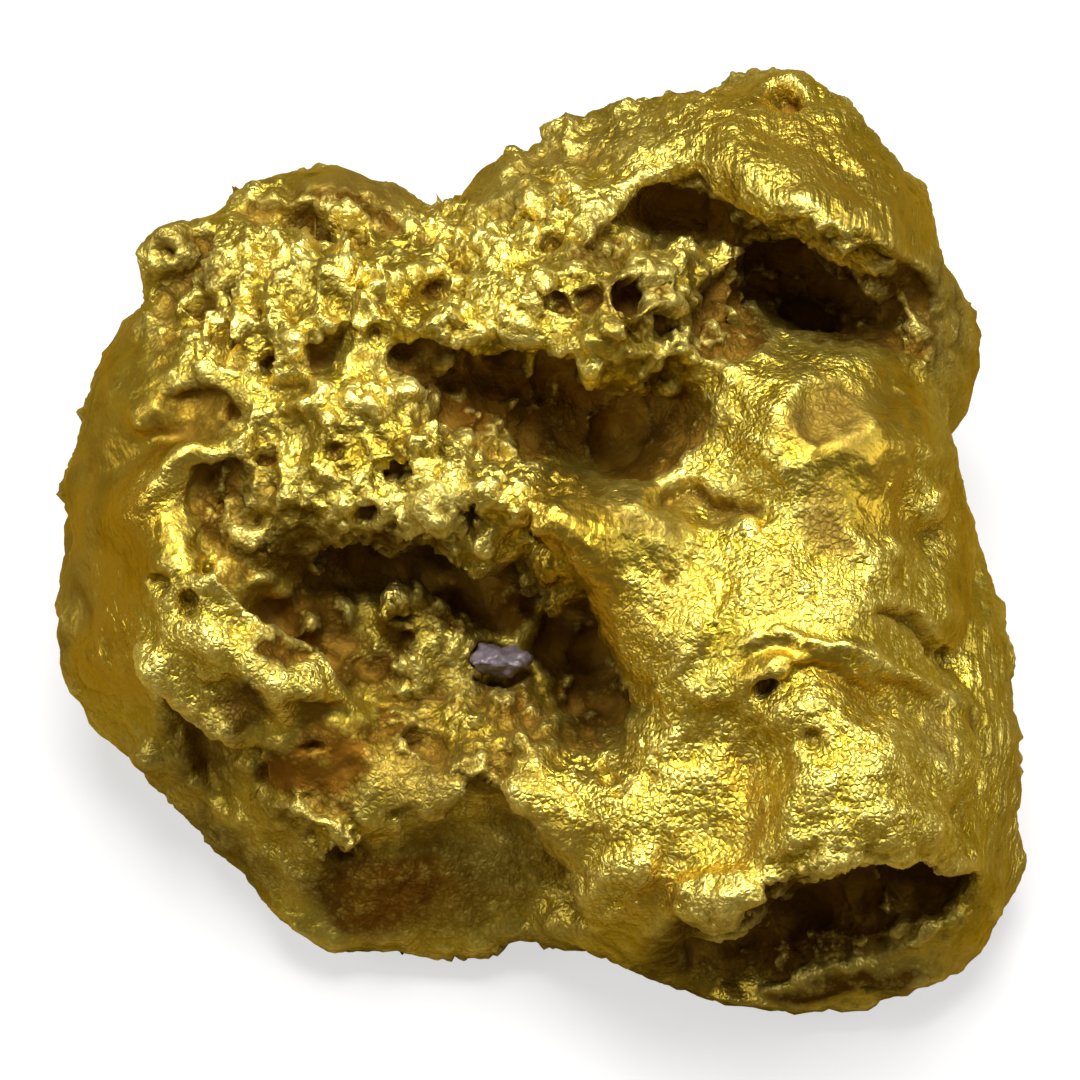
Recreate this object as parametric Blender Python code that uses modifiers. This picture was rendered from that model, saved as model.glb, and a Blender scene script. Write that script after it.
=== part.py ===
"""A natural gold nugget: one lump of native gold, with a grain of quartz wedged in its middle hollow.

The nugget lies on its worn underside. Its show face looks forward (-Y) and up. Places on the lump
are given in millimetres along the show face's own axes: across (+X), up the face, and out of it.
"""

import math
from collections import namedtuple

import bmesh
import bpy
import numpy as np
from mathutils import Matrix, Vector, noise
from mathutils.bvhtree import BVHTree

MM = 0.001

# Driving dimensions, in millimetres and degrees.
FACE_LEAN = 60.0  # how far the show face is tipped up from vertical
FACE_HEIGHT = 3.85  # the face axes' origin above the surface that the nugget lies on
OUTLINE_CENTRE = (0.0, -0.2)
BACK_DEPTH = 4.6  # how far the back swells behind the rim
BACK_FULLNESS = 2.6  # how far out towards the rim the back stays deep
EDGE_ROUNDING = 1.5  # width of the rounded edge between the rim and the show face
EYE_DISTANCE = 85.0  # the outline is given as seen from this far off, so what lies deeper is larger
TO_MIDDLE = (0.02, -0.81, 0.0)  # brings the middle of the nugget's box over the origin

# How fine the surface is: the grids that fuse the lumps, and the triangles that are left at the end.
BLANK_GRID = 0.14
FINE_GRID = 0.115
MOST_TRIANGLES = 9300
BALL_SUBDIVISIONS = 7
LUMP_SUBDIVISIONS = 4
ABOVE_ALL = 20.0  # a height clear of the whole nugget

# The rim seen square on to the show face: (across, up, out) of its turning points, clockwise.
RIM = [
    (-6.38, -0.80, -1.3), (-6.30, 0.40, -1.5), (-6.10, 1.58, -1.7), (-5.82, 2.34, -1.6),
    (-5.38, 2.96, -1.2), (-5.08, 3.26, -0.9), (-5.10, 3.75, -0.6), (-4.92, 4.20, -0.6),
    (-4.40, 4.38, -0.9), (-3.60, 4.36, -0.9), (-2.60, 4.33, -0.8), (-1.44, 4.24, -1.0),
    (-0.98, 4.40, -1.4), (-0.73, 4.81, -1.8), (-0.29, 5.08, -2.0), (0.10, 5.18, -2.0),
    (0.22, 5.58, -2.0), (1.07, 5.80, -1.9), (1.67, 6.03, -1.8), (2.53, 6.08, -1.6),
    (3.00, 6.36, -1.5), (3.48, 6.42, -1.4), (3.84, 6.02, -1.3), (4.14, 5.78, -1.3),
    (4.58, 5.26, -1.2), (5.18, 4.79, -1.2), (5.38, 4.10, -1.2), (5.50, 3.20, -1.1),
    (5.42, 2.30, -1.0), (5.50, 1.50, -0.9), (5.66, 0.67, -0.9), (5.82, -0.40, -0.9),
    (5.98, -1.60, -1.0), (6.23, -2.73, -1.0), (6.42, -3.73, -1.0), (6.37, -4.53, -0.8),
    (6.02, -5.13, -0.7), (5.74, -5.69, -0.6), (5.24, -6.06, -0.5), (4.40, -6.27, -0.4),
    (3.33, -6.33, -0.4), (2.33, -6.40, -0.4), (1.56, -6.03, -0.5), (0.80, -5.55, -0.6),
    (0.00, -5.36, -0.7), (-1.60, -5.52, -0.8), (-2.73, -5.62, -0.8), (-3.45, -5.33, -0.9),
    (-4.08, -4.46, -1.2), (-4.73, -3.70, -1.3), (-5.40, -3.13, -1.3), (-5.40, -2.62, -1.3),
    (-5.87, -2.05, -1.3), (-6.22, -1.55, -1.3),
]

# Heights of the show face, region by region: (across, up, out).
RELIEF = {
    "roll": [
        (0.8, 5.4, -0.6), (2.1, 5.5, 0.2), (3.3, 5.7, -0.2), (1.3, 5.0, 0.4), (2.7, 4.9, 1.0),
        (3.9, 5.1, 0.4), (3.5, 4.4, 1.4), (4.5, 4.3, 1.0), (4.4, 3.6, 1.3), (5.1, 3.6, 0.5),
        (5.2, 2.7, 0.4),
    ],
    "hollow_under_roll": [
        (1.9, 4.4, -0.6), (2.9, 3.7, -0.9), (3.5, 3.2, -1.1), (4.3, 3.1, -0.4), (4.9, 2.5, 0.0),
    ],
    "right_shoulder": [
        (2.9, 2.5, 1.2), (3.9, 2.5, 1.3), (4.7, 2.3, 0.9), (3.5, 1.6, 2.2), (4.5, 1.2, 1.9),
        (5.2, 0.5, 1.0), (2.7, 1.5, 2.0), (4.1, 0.0, 2.1), (5.3, -0.5, 1.2), (5.7, -1.5, 0.6),
    ],
    "upper_crust": [
        (-4.7, 3.7, -0.1), (-3.9, 3.9, 0.4), (-3.2, 3.2, 1.1), (-2.1, 3.6, 1.0), (-1.3, 3.7, 0.9),
        (-0.5, 4.0, 0.8), (0.3, 4.3, 0.9), (0.0, 3.2, 1.8), (0.8, 3.5, 1.9), (1.1, 2.7, 2.2),
        (1.9, 3.2, 1.7), (2.5, 3.7, 1.0), (2.4, 3.0, 0.9), (2.1, 2.4, 1.5), (-1.1, 2.8, 1.6),
        (-2.1, 2.5, 1.3), (-4.3, 2.5, 1.0), (-5.1, 2.5, 0.5),
    ],
    "upper_recess": [
        (-1.2, 2.1, 0.7), (-0.3, 2.0, 0.2), (0.8, 1.6, -0.3), (1.6, 1.6, 0.0), (2.0, 1.2, 0.8),
        (0.3, 1.2, 0.3), (-0.8, 1.5, 0.8),
    ],
    "middle_crust": [
        (-3.2, 1.9, 1.5), (-2.5, 1.5, 1.8), (-1.6, 1.3, 1.9), (-3.2, 0.8, 1.7), (-2.1, 0.5, 2.0),
        (-1.1, 0.7, 2.3), (0.0, 0.5, 2.5), (-4.0, 1.6, 1.0),
    ],
    "left_shoulder": [
        (-5.7, 1.2, 0.2), (-5.2, 1.6, 0.8), (-5.9, -0.3, 0.3), (-5.2, 0.5, 1.1), (-4.5, 1.2, 1.2),
        (-4.8, -0.3, 1.5), (-4.3, 0.5, 0.7), (-3.9, 0.1, 1.0), (-5.5, -1.3, 0.6), (-4.5, -1.1, 1.6),
        (-4.4, -0.7, 1.7), (-3.6, -1.5, 1.7), (-2.8, -2.1, 1.6), (-5.1, -1.9, 1.0),
    ],
    "leaf_hollow": [
        (-4.7, -2.3, 0.4), (-4.1, -2.8, 0.3), (-5.2, -2.5, 0.2), (-4.7, -3.3, -0.3),
    ],
    "brown_facet": [
        (-3.2, -2.8, 0.9), (-2.5, -3.1, 0.9), (-3.1, -3.7, 0.8), (-3.6, -4.3, 0.1),
    ],
    "lower_slab": [
        (-1.9, -4.1, 0.5), (-0.9, -4.1, 0.4), (-2.3, -4.8, 0.0), (-1.2, -4.9, -0.1), (-0.1, -4.8, 0.0),
    ],
    "bright_slab": [
        (-1.3, -3.2, 1.5), (-0.8, -2.9, 1.6), (-1.9, -2.7, 1.2), (0.0, -3.2, 1.7), (0.35, -4.0, 1.7),
        (0.8, -4.8, 1.3),
    ],
    "middle_hollow": [
        (-2.8, -0.4, 0.6), (-1.9, -0.3, 0.3), (-0.8, -0.4, 0.4), (0.0, -0.8, 0.3), (0.5, -1.5, -0.1),
        (0.7, -2.3, 0.6), (-0.8, -1.5, 0.3), (-0.5, -2.1, 1.0), (-2.5, -1.3, 0.2), (-3.2, -0.9, 0.3),
        (-1.3, -2.1, 0.7), (-2.1, -2.1, 0.5), (-1.7, -0.9, 1.0), (-1.6, -1.6, 0.6),
    ],
    "centre_facet": [
        (0.5, -0.3, 2.3), (1.1, 0.0, 2.2), (1.5, 0.7, 1.9), (1.1, -1.1, 2.1), (1.6, -0.5, 2.2),
        (2.1, 0.1, 2.0),
    ],
    "arm": [
        (1.9, -1.3, 2.5), (2.9, -0.8, 2.5), (3.9, -1.1, 2.6), (4.8, -1.3, 2.0), (1.3, -2.4, 2.1),
        (1.1, -3.5, 2.2), (1.6, -4.3, 2.1), (2.4, -2.9, 2.2), (2.1, -4.1, 2.1), (3.5, -1.9, 3.0),
        (4.1, -2.9, 3.2), (3.5, -3.7, 3.1), (4.8, -3.9, 2.7), (5.5, -2.9, 1.9), (6.0, -3.7, 0.8),
        (5.3, -4.5, 2.0),
    ],
    "foot_edge": [
        (1.1, -4.9, 1.9), (2.0, -5.1, 1.9), (2.9, -4.5, 2.6), (4.1, -4.4, 2.7), (5.5, -4.5, 1.8),
    ],
    "foot_recess": [
        (2.4, -5.5, 0.1), (3.5, -5.1, 0.3), (4.5, -4.8, 0.4), (5.2, -4.7, 0.6),
    ],
    "foot_rim": [
        (3.5, -5.9, 0.3), (4.8, -5.6, 0.5), (2.1, -6.0, -0.2),
    ],
}
RELIEF_SPREAD = 0.38  # how far each of these heights reaches across the face

# Lumps that stand out of the main form: place, radii (across, up, out) and turn in the face's plane.
LUMPS = {
    "back_lobe": ((-2.92, 4.36, -1.9), (1.42, 0.7, 1.4), -8),
    "back_lobe_tip": ((-3.82, 4.7, -1.3), (0.5, 0.26, 0.45), 18),
    "corner_knob": ((-5.02, 3.82, -0.5), (0.42, 0.54, 0.5), -30),
    "roll_step": ((0.34, 5.42, -1.7), (0.34, 0.3, 0.5), 20),
    "roll_end": ((5.28, 2.7, -2.2), (0.72, 1.5, 1.6), 6),
    "left_ledge": ((-4.17, -3.58, -1.6), (1.62, 0.52, 1.1), -42),
}

# Ledges, walked along with the high side on the left: the line, the whole drop, and how far the
# high side and the low side take to level out.
SHOW_LEDGES = {
    "roll_lip": (
        [(0.85, 4.45), (1.35, 4.7), (1.8, 4.75), (2.25, 4.45), (2.75, 4.2), (3.35, 4.1),
         (3.85, 3.85), (4.4, 3.7), (4.85, 3.6), (5.2, 3.35), (5.45, 2.75)], 0.55, 0.5, 0.45,
    ),
    "crust_lip": (
        [(-3.2, 2.25), (-2.95, 2.55), (-2.6, 2.9), (-2.05, 2.9), (-1.45, 2.65), (-0.85, 2.55),
         (-0.4, 2.75), (0.05, 2.55), (0.6, 2.3), (1.15, 2.35), (1.6, 2.25), (2.2, 2.25)], 0.45, 0.6, 0.5,
    ),
    "recess_sill": (
        [(2.15, 0.7), (1.35, 0.65), (0.45, 0.75), (-0.15, 0.85), (-0.65, 1.05), (-1.2, 1.35),
         (-1.6, 1.8), (-2.2, 2.05)], 0.4, 0.7, 0.45,
    ),
    "facet_edge": (
        [(-0.25, 0.55), (0, 0.25), (0.2, -0.1), (0.45, -0.55), (0.65, -1.1), (0.95, -1.55),
         (1.4, -2.05)], 0.6, 1.2, 0.35,
    ),
    "wedge_edge": (
        [(-0.85, -3.05), (-0.45, -3.5), (-0.1, -3.85), (0.25, -4.3), (0.6, -4.85)], 0.55, 0.9, 0.3,
    ),
    "slab_edge": (
        [(-2.75, -4.2), (-2.5, -3.95), (-2.05, -3.6), (-1.6, -3.8), (-1.2, -3.75), (-1, -3.45),
         (-0.75, -3.15)], 0.4, 0.6, 0.4,
    ),
    "left_ridge": (
        [(-5.5, -1.45), (-5.05, -1.6), (-4.65, -1.85), (-4.3, -2.15), (-3.95, -2.5),
         (-3.7, -2.95)], 0.35, 0.35, 0.3,
    ),
    "hollow_rim_left": (
        [(-1.85, -2.3), (-2.5, -2.05), (-3.2, -1.7), (-3.65, -1.45), (-4.05, -1.1), (-4.35, -0.65),
         (-4.7, -0.25)], 0.4, 0.6, 0.4,
    ),
    "hollow_rim_top": (
        [(-3.4, -0.6), (-3.05, -0.25), (-2.75, 0.1), (-2.25, 0.15), (-1.8, -0.1), (-1.2, -0.35),
         (-0.65, -0.65)], 0.4, 0.4, 0.35,
    ),
    "notch_top": ([(-4.85, 0.85), (-4.55, 0.95), (-4, 1.05), (-3.65, 1.1)], 0.3, 0.3, 0.3),
    "foot_edge": (
        [(1.55, -5.2), (2, -5.25), (2.5, -5.1), (2.85, -4.85), (3.1, -4.55), (3.6, -4.35),
         (4.15, -4.25), (4.6, -4.15), (5.1, -4.3), (5.6, -4.55), (6.05, -4.45)], 0.75, 0.7, 0.5,
    ),
    "back_lobe_crease": (
        [(-1.35, 4.2), (-1.95, 4.25), (-2.6, 4.15), (-3.2, 4.25), (-3.85, 4.35)], 0.3, 0.6, 0.4,
    ),
}

# Grooves and hollows that follow a line: the line, how deep, and half how wide.
SHOW_TROUGHS = {
    "shoulder_fold": ([(-5.9, 0.9), (-5.4, 1.15), (-5, 1.45), (-4.55, 1.8), (-4.1, 1.9)], 0.32, 0.2),
    "notch": ([(-4.55, 0.8), (-4.35, 0.35), (-4.45, -0.2)], 0.3, 0.25),
    "notch_branch": ([(-4.05, 0.85), (-4.25, 0.45)], 0.3, 0.15),
    "leaf": ([(-5, -2.15), (-4.6, -2.6), (-4.2, -3.05), (-4, -3.45)], 0.4, 0.28),
    "leaf_slit": ([(-3.7, -2.65), (-3.7, -3.05), (-3.8, -3.4)], 0.45, 0.12),
    "arch_fold": (
        [(2.45, -2.45), (2.7, -2.05), (3.1, -1.7), (3.75, -1.65), (4.4, -1.95), (5.15, -2.35),
         (6, -3)], 0.2, 0.15,
    ),
    "arm_valley": ([(2.65, -2.45), (2.75, -2.95), (2.8, -3.45), (2.75, -4), (2.45, -4.45)], 0.14, 0.22),
    "leaf_dent": ([(4.35, -1.2), (4.7, -1.05), (5.1, -1.15), (5.4, -1.55), (5.65, -1.85)], 0.28, 0.13),
    "shoulder_crease": ([(1.55, 0.65), (2.15, 0.55), (2.65, 0.45), (3.15, 0.35)], 0.28, 0.13),
    "shoulder_step": ([(4.15, 0), (4.75, 0.2), (5.4, 0.05)], 0.2, 0.2),
    "crack": ([(-0.65, -3.35), (-0.25, -3.75), (0.05, -4.2), (0.35, -4.75)], 0.4, 0.18),
    "cave": ([(1.35, 4.55), (2, 4.35), (2.6, 4), (3.2, 3.65), (4, 3.35), (4.8, 3.05)], 0.5, 0.4),
    "under_roll": ([(2.75, 3.35), (3.45, 3.05), (4.15, 2.8), (4.85, 2.6)], 0.35, 0.25),
    "quartz_slit": ([(-0.95, -1.8), (-0.55, -1.9), (-0.1, -1.8)], 0.3, 0.1),
    "deep": ([(0.05, -0.95), (0.45, -1.45), (0.8, -2), (0.95, -2.65)], 0.6, 0.3),
    "hollow_floor": (
        [(-2.9, -0.25), (-2.15, -0.35), (-1.35, -0.55), (-0.55, -0.95), (0.05, -1.45)], 0.45, 0.35,
    ),
    "brown_crease": ([(-3.7, -2.15), (-3.2, -2.3), (-2.55, -2.2), (-1.95, -2)], 0.3, 0.2),
    "diagonal_cave": ([(-3.25, 2.3), (-2.95, 2.5), (-2.65, 2.75)], 0.4, 0.16),
    "foot_recess": (
        [(1.85, -5.55), (2.55, -5.45), (3.2, -5.15), (4, -4.85), (4.8, -4.65), (5.45, -4.65)], 0.45, 0.35,
    ),
    "foot_side": ([(6.15, -2.15), (6.25, -3.2), (6.3, -4.15)], 0.15, 0.3),
    "crust_valley": ([(-4.15, 2.6), (-3.7, 2.3), (-3.2, 2.25)], 0.25, 0.2),
    "crust_fold": ([(-4.65, 3.85), (-4.45, 3.4), (-4.05, 3.2)], 0.25, 0.2),
}

# Raised crests that follow a line: the line, how high, and half how wide.
SHOW_CRESTS = {
    "shoulder_ridge": ([(-5.65, 0.2), (-5.15, 0.65), (-4.75, 1.05), (-4.45, 1.25)], 0.25, 0.15),
    "ridge_light": ([(-5.35, -1.55), (-4.65, -1.9), (-4.25, -2.2), (-3.75, -2.9)], 0.25, 0.1),
    "knob_arc": ([(-2.2, -1.2), (-2, -0.9), (-1.6, -0.7), (-1.25, -0.85), (-1.05, -1.2)], 0.4, 0.13),
    "arch": (
        [(2, -2.3), (2.55, -1.75), (3.2, -1.4), (4.05, -1.55), (4.8, -1.85), (5.45, -2.2),
         (6, -2.65)], 0.22, 0.17,
    ),
    "crumb_ridge": ([(-2, 0), (-1.7, 0.25), (-1.35, 0.55), (-0.95, 0.65)], 0.25, 0.12),
    "rim_strip": ([(-5.45, -2.9), (-5, -3.15), (-4.55, -3.45), (-4.05, -3.95)], 0.25, 0.15),
    "crumbs": ([(-3.5, -3.5), (-3.2, -3.6), (-2.85, -3.75), (-2.55, -4.05)], 0.35, 0.12),
    "foot_rim": ([(2.9, -5.95), (3.45, -5.65), (4.15, -5.35), (4.8, -5.05), (5.45, -4.85)], 0.3, 0.22),
    "roll_ripple": ([(2.15, 5.2), (3.05, 4.65), (4, 4.2), (4.8, 3.85)], 0.12, 0.25),
    "wedge_top": ([(-0.75, -3.15), (-0.35, -3.55), (0.15, -4.15), (0.45, -4.55)], 0.15, 0.1),
    "arm_ripple_a": ([(1.7, -2.15), (1.75, -2.95), (1.6, -3.75), (1.2, -4.55)], 0.1, 0.15),
    "arm_ripple_b": ([(3.45, -2.95), (4.15, -3.45), (4.8, -4.15)], 0.12, 0.2),
    "recess_rib": ([(-0.55, 2.35), (-0.35, 1.6), (-0.3, 1.0)], 0.3, 0.16),
    "recess_spur": ([(0.9, 2.1), (1.3, 1.6), (1.7, 1.3)], 0.25, 0.18),
    "cave_rib": ([(2.75, 4.2), (2.55, 3.7), (2.4, 3.3)], 0.35, 0.18),
    "brown_shelf": ([(-1.3, -0.9), (-0.7, -1.2), (-0.05, -1.25), (0.15, -0.9)], 0.35, 0.2),
    "shelf_rib": ([(-0.95, -0.5), (-0.4, -0.8), (0.15, -1.5), (0.35, -2.1)], 0.3, 0.14),
    "hollow_rib": ([(-3.3, -0.9), (-2.7, -1.2), (-2.2, -1.6)], 0.3, 0.16),
    "notch_side": ([(-4.65, 0.85), (-4.7, 0.4), (-4.6, -0.2), (-4.25, -0.8)], 0.2, 0.1),
}

# Round pits and nubs: place (across, up), radius, depth (a nub's is negative), stretch and turn.
SHOW_PITS = [
    (3.25, 5.95, 0.2, 0.35, 1.5, -30), (-5.15, 3.8, 0.16, 0.3, 1.2, -20),
    (-1.3, 3.35, 0.2, 0.35, 1.6, -15),
    (-0.35, 4.35, 0.12, 0.3, 1.5, 0), (0.1, 4.05, 0.1, 0.3, 1.0, 0), (0.3, 4.6, 0.12, 0.25, 1.0, 0),
    (0.2, 3.15, 0.14, 0.3, 1.8, -20), (0.6, 3.25, 0.1, 0.25, 1.4, 20), (1.2, 3.3, 0.26, 0.5, 1.1, 0),
    (2.45, 3.45, 0.2, 0.45, 1.2, 40), (1.6, 2.85, 0.2, 0.35, 1.2, 0), (1.7, 2.5, 0.16, 0.35, 1.2, 0),
    (2.0, 3.1, 0.2, 0.4, 1.2, 30), (-3.7, 2.3, 0.12, 0.25, 1.3, 0), (-4.15, 1.7, 0.12, 0.3, 1.3, 0),
    (-3.65, 1.2, 0.12, 0.35, 1.2, 0), (-2.7, 1.15, 0.1, 0.25, 1.6, 0), (-1.9, 0.9, 0.2, 0.45, 1.5, -15),
    (-2.3, 0.35, 0.12, 0.35, 2.2, 0), (-0.9, 0.4, 0.16, 0.3, 1.1, 0), (-0.05, 0.05, 0.16, 0.4, 1.4, -30),
    (-4.7, -0.9, 0.2, 0.45, 1.3, 70), (-5.1, -0.55, 0.16, 0.2, 1.4, 0), (-4.35, -0.25, 0.1, 0.35, 1.8, 75),
    (-1.7, -2.6, 0.12, 0.4, 1.2, 60), (-2.2, -2.55, 0.1, 0.25, 1.0, 0), (-3.05, -2.8, 0.08, 0.25, 2.2, 15),
    (3.05, -2.0, 0.13, 0.28, 2.2, 30), (3.65, -2.6, 0.16, 0.2, 1.2, 0), (5.3, -4.7, 0.3, 0.45, 1.8, 0),
    (-2.65, -4.25, 0.14, 0.3, 1.8, 0), (3.45, 3.0, 0.25, 0.6, 1.6, -25), (3.8, 1.75, 0.35, 0.25, 1.3, 0),
    (-2.9, -0.4, 0.22, -0.3, 1.3, 0), (-3.65, -0.5, 0.14, -0.25, 1.3, -20),
    (-1.5, 1.35, 0.3, -0.2, 1.2, 0),
    (2.3, -4.8, 0.55, -0.35, 1.5, 35), (-0.6, -2.4, 0.6, -0.2, 1.4, 0), (2.65, 0.25, 0.2, -0.2, 1.4, 0),
    (0.8, 1.7, 0.2, -0.3, 1.2, 0), (1.5, 1.3, 0.16, -0.25, 1.2, 0), (-0.9, 1.8, 0.18, -0.25, 1.2, 0),
    (-2.1, -1.0, 0.2, -0.3, 1.2, 0), (-1.2, -0.6, 0.15, -0.2, 1.4, 0), (0.1, -2.6, 0.2, -0.25, 1.4, 40),
    (5.1, 0.5, 0.35, -0.15, 1.3, -60), (-5.7, 2.25, 0.3, -0.2, 1.3, 50), (2.4, 1.1, 0.5, -0.2, 1.6, 0),
]

# The sides that face away, each seen square on: across and up from the middle of the surface below.
BACK_LEDGES = {
    "fold": ([(-4.6, 3.5), (-2.6, 4.1), (0.0, 3.5), (2.0, 3.8), (4.2, 3.1)], 0.45, 0.7, 0.4),
    "step": ([(-3.6, 1.9), (-1.6, 1.5), (0.6, 2.0), (2.4, 1.5)], 0.35, 0.6, 0.4),
}
BACK_TROUGHS = {
    "left_gully": ([(-1.4, 5.2), (-0.9, 3.2), (-0.3, 1.0)], 0.35, 0.3),
    "middle_gully": ([(2.1, 4.6), (2.7, 2.8), (3.6, 1.5)], 0.35, 0.28),
    "right_gully": ([(-4.4, 4.6), (-3.3, 2.8), (-3.5, 1.2)], 0.3, 0.3),
}
BACK_CRESTS = {
    "rib": ([(0.6, 4.4), (1.5, 2.7), (1.3, 1.2)], 0.25, 0.2),
    "short_rib": ([(-2.8, 4.3), (-2.2, 3.0)], 0.25, 0.2),
}
BACK_PITS = [
    (-2.6, 2.6, 0.3, 0.35, 1.4, 20), (0.4, 2.8, 0.18, 0.3, 1.3, 0), (3.3, 3.2, 0.2, 0.35, 1.5, -30),
    (-3.9, 3.2, 0.16, 0.3, 1.2, 0), (1.9, 1.9, 0.3, 0.3, 1.6, 40), (-0.9, 4.4, 0.18, 0.3, 1.2, 0),
    (4.6, 2.2, 0.35, -0.25, 1.4, 60), (-1.8, 1.2, 0.4, -0.25, 1.5, 0), (0.2, 4.3, 0.4, -0.25, 1.3, 10),
]
RIGHT_LEDGES = {"flank_step": ([(-4.0, 1.5), (-2.0, 1.9), (0.5, 1.4), (2.2, 1.8)], 0.3, 0.6, 0.4)}
RIGHT_TROUGHS = {
    "flank_groove": ([(-3.6, 2.9), (-1.5, 3.3), (0.6, 2.8)], 0.2, 0.22),
    "roll_fold": ([(1.6, 4.2), (2.1, 2.6), (3.2, 1.2)], 0.35, 0.28),
}
RIGHT_CRESTS = {"flank_rib": ([(-3.2, 2.2), (-0.8, 2.5), (1.0, 2.2)], 0.15, 0.2)}
RIGHT_PITS = [
    (-1.2, 2.0, 0.2, 0.3, 1.4, 20), (0.8, 3.4, 0.16, 0.25, 1.2, 0), (3.6, 3.0, 0.25, 0.3, 1.5, -40),
    (4.4, 2.0, 0.35, -0.25, 1.4, 30), (-3.4, 0.9, 0.3, -0.2, 1.6, 0),
]
LEFT_LEDGES = {"flank_step": ([(-3.4, 1.4), (-1.0, 1.9), (1.4, 1.4), (3.2, 1.7)], 0.35, 0.6, 0.4)}
LEFT_TROUGHS = {
    "flank_groove": ([(-3.2, 3.3), (-1.0, 2.7), (1.2, 3.0)], 0.25, 0.25),
    "lobe_fold": ([(-4.2, 3.6), (-3.6, 2.0), (-4.0, 0.8)], 0.3, 0.28),
}
LEFT_CRESTS = {"flank_rib": ([(-0.4, 3.6), (0.6, 2.2), (2.2, 1.0)], 0.2, 0.2)}
LEFT_PITS = [
    (-2.0, 2.2, 0.22, 0.3, 1.4, -20), (0.9, 2.5, 0.16, 0.25, 1.2, 0), (2.4, 2.2, 0.3, -0.25, 1.5, 20),
    (-0.6, 1.1, 0.25, 0.3, 1.6, 10), (-4.6, 2.4, 0.3, -0.25, 1.3, 0),
]

# Where the gold grew as a crumbly crust: place (across, up) and radius.
CRUST = [
    (-4.3, 3.2, 0.9), (-3.2, 3.0, 1.2), (-2.0, 3.3, 1.1),
    (-0.6, 3.4, 1.2), (0.9, 3.3, 1.2), (2.1, 2.8, 0.9),
    (-3.2, 1.7, 1.0), (-2.2, 1.3, 1.1), (-1.0, 0.7, 0.9), (0.1, -0.3, 0.6), (-2.6, -0.3, 0.8),
    (-2.8, -1.2, 0.9), (-1.6, -1.6, 0.9), (-0.8, -2.3, 0.9), (-2.2, -2.4, 0.9), (-2.9, -3.8, 0.6),
    (1.4, 1.9, 0.7), (4.2, -5.5, 1.2),
]

# Worn flats on the sides and the back: middle, outward normal (world, millimetres) and softness.
FLATS = [
    ((6.35, -1.5, 2.5), (0.96, -0.05, 0.1), 0.2),
    ((3.2, 6.9, 3.4), (0.45, 0.85, -0.2), 0.3),
    ((-2.6, 6.1, 2.6), (-0.35, 0.9, -0.1), 0.3),
    ((-6.2, 1.8, 1.6), (-0.85, 0.35, -0.35), 0.25),
    ((-4.6, -4.0, 1.6), (-0.7, -0.7, -0.25), 0.2),
    ((0.0, 6.3, 1.5), (0.05, 0.8, -0.6), 0.3),
]
FLAT_WEAR = 0.85  # the share of what stands past a flat that is worn away

# How uneven the surface is: the size and height of each kind of unevenness.
LEDGE_SOFTNESS = 0.05  # how softly a ledge turns over at its line
RAGGED_SIZE = 0.55  # the wobble in the lines of ledges and hollows
RAGGED_DEPTH = 0.13
WOBBLE_SEED = 7  # fixes the wobble, which would otherwise differ from one run to the next
CRUST_LUMP_SIZE = 0.62
CRUST_LUMP_HEIGHT = 0.2
CRUST_LUMP_REACH = 0.6  # a lump's foot, as a share of its size
WAVE_SIZE = 2.4
WAVE_HEIGHT = 0.2
WAVE_ROUGHNESS = 0.9
WAVE_OCTAVES = 4

# The underside: a flat worn patch where it lies, with the lump's hollows rising away all round it.
PATCH_MIDDLE = (0.6, -0.75)
PATCH_RADII = (3.2, 2.9)
UNDERSIDE_LIFT = 0.45  # how fast the underside rises away from the patch
UNDERSIDE_HOLLOWS = 0.9  # how deep its hollows are
UNDERSIDE_HOLLOW_SIZE = 1.7
UNDERSIDE_SOFTNESS = 0.4  # how gently the sides turn under
PATCH_WEAR = 0.14
FLAT_REACH = 0.006  # what lies this close to the flat patch is part of it

# The quartz grain: its place on the show face (across, up), how far it stands out of the hollow's
# floor, its radii (across, up, out), and its flat faces, each an outward normal and a distance out.
GRAIN_PLACE = (-0.52, -1.6)
GRAIN_LIFT = 0.1
GRAIN_RADII = (0.5, 0.24, 0.4)
GRAIN_TURN = -6.0
GRAIN_GAP = 0.02
GRAIN_FLATNESS = 20.0  # faces closer than this to one plane, in degrees, are one face
GRAIN_FACES = [
    ((0.1, 0.2, 1.0), 0.68), ((-0.3, -0.9, 0.5), 0.72), ((0.2, 1.0, 0.4), 0.66), ((-1.0, 0.3, 0.3), 0.75),
    ((1.0, -0.2, 0.3), 0.76), ((0.6, 0.6, 0.7), 0.74), ((-0.6, 0.6, 0.5), 0.76), ((0.3, -0.8, 0.8), 0.78),
    ((-0.4, -0.5, -0.9), 0.7), ((0.5, 0.3, -1.0), 0.72), ((0.7, -0.7, -0.3), 0.74),
    ((-0.7, -0.6, -0.1), 0.76),
]

# A side of the nugget: its axes in the world (across, up, out), the height that its places are counted
# from, how squarely a surface must face it to take its strokes, and the strokes.
Side = namedtuple("Side", "axes height least_facing ledges troughs crests pits")
BACK_AXES = ((-1, 0, 0), (0, 0, 1), (0, 1, 0))
RIGHT_AXES = ((0, 1, 0), (0, 0, 1), (1, 0, 0))
LEFT_AXES = ((0, -1, 0), (0, 0, 1), (-1, 0, 0))
FACING_FADE = 0.3


def clear_scene():
    for old in list(bpy.data.objects):
        bpy.data.objects.remove(old)


def face_axes():
    """The show face's axes in the world: across, up the face and out of it, as the rows of a matrix."""
    lean = math.radians(FACE_LEAN)
    return np.array([
        (1.0, 0.0, 0.0),
        (0.0, math.sin(lean), math.cos(lean)),
        (0.0, -math.cos(lean), math.sin(lean)),
    ])


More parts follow.
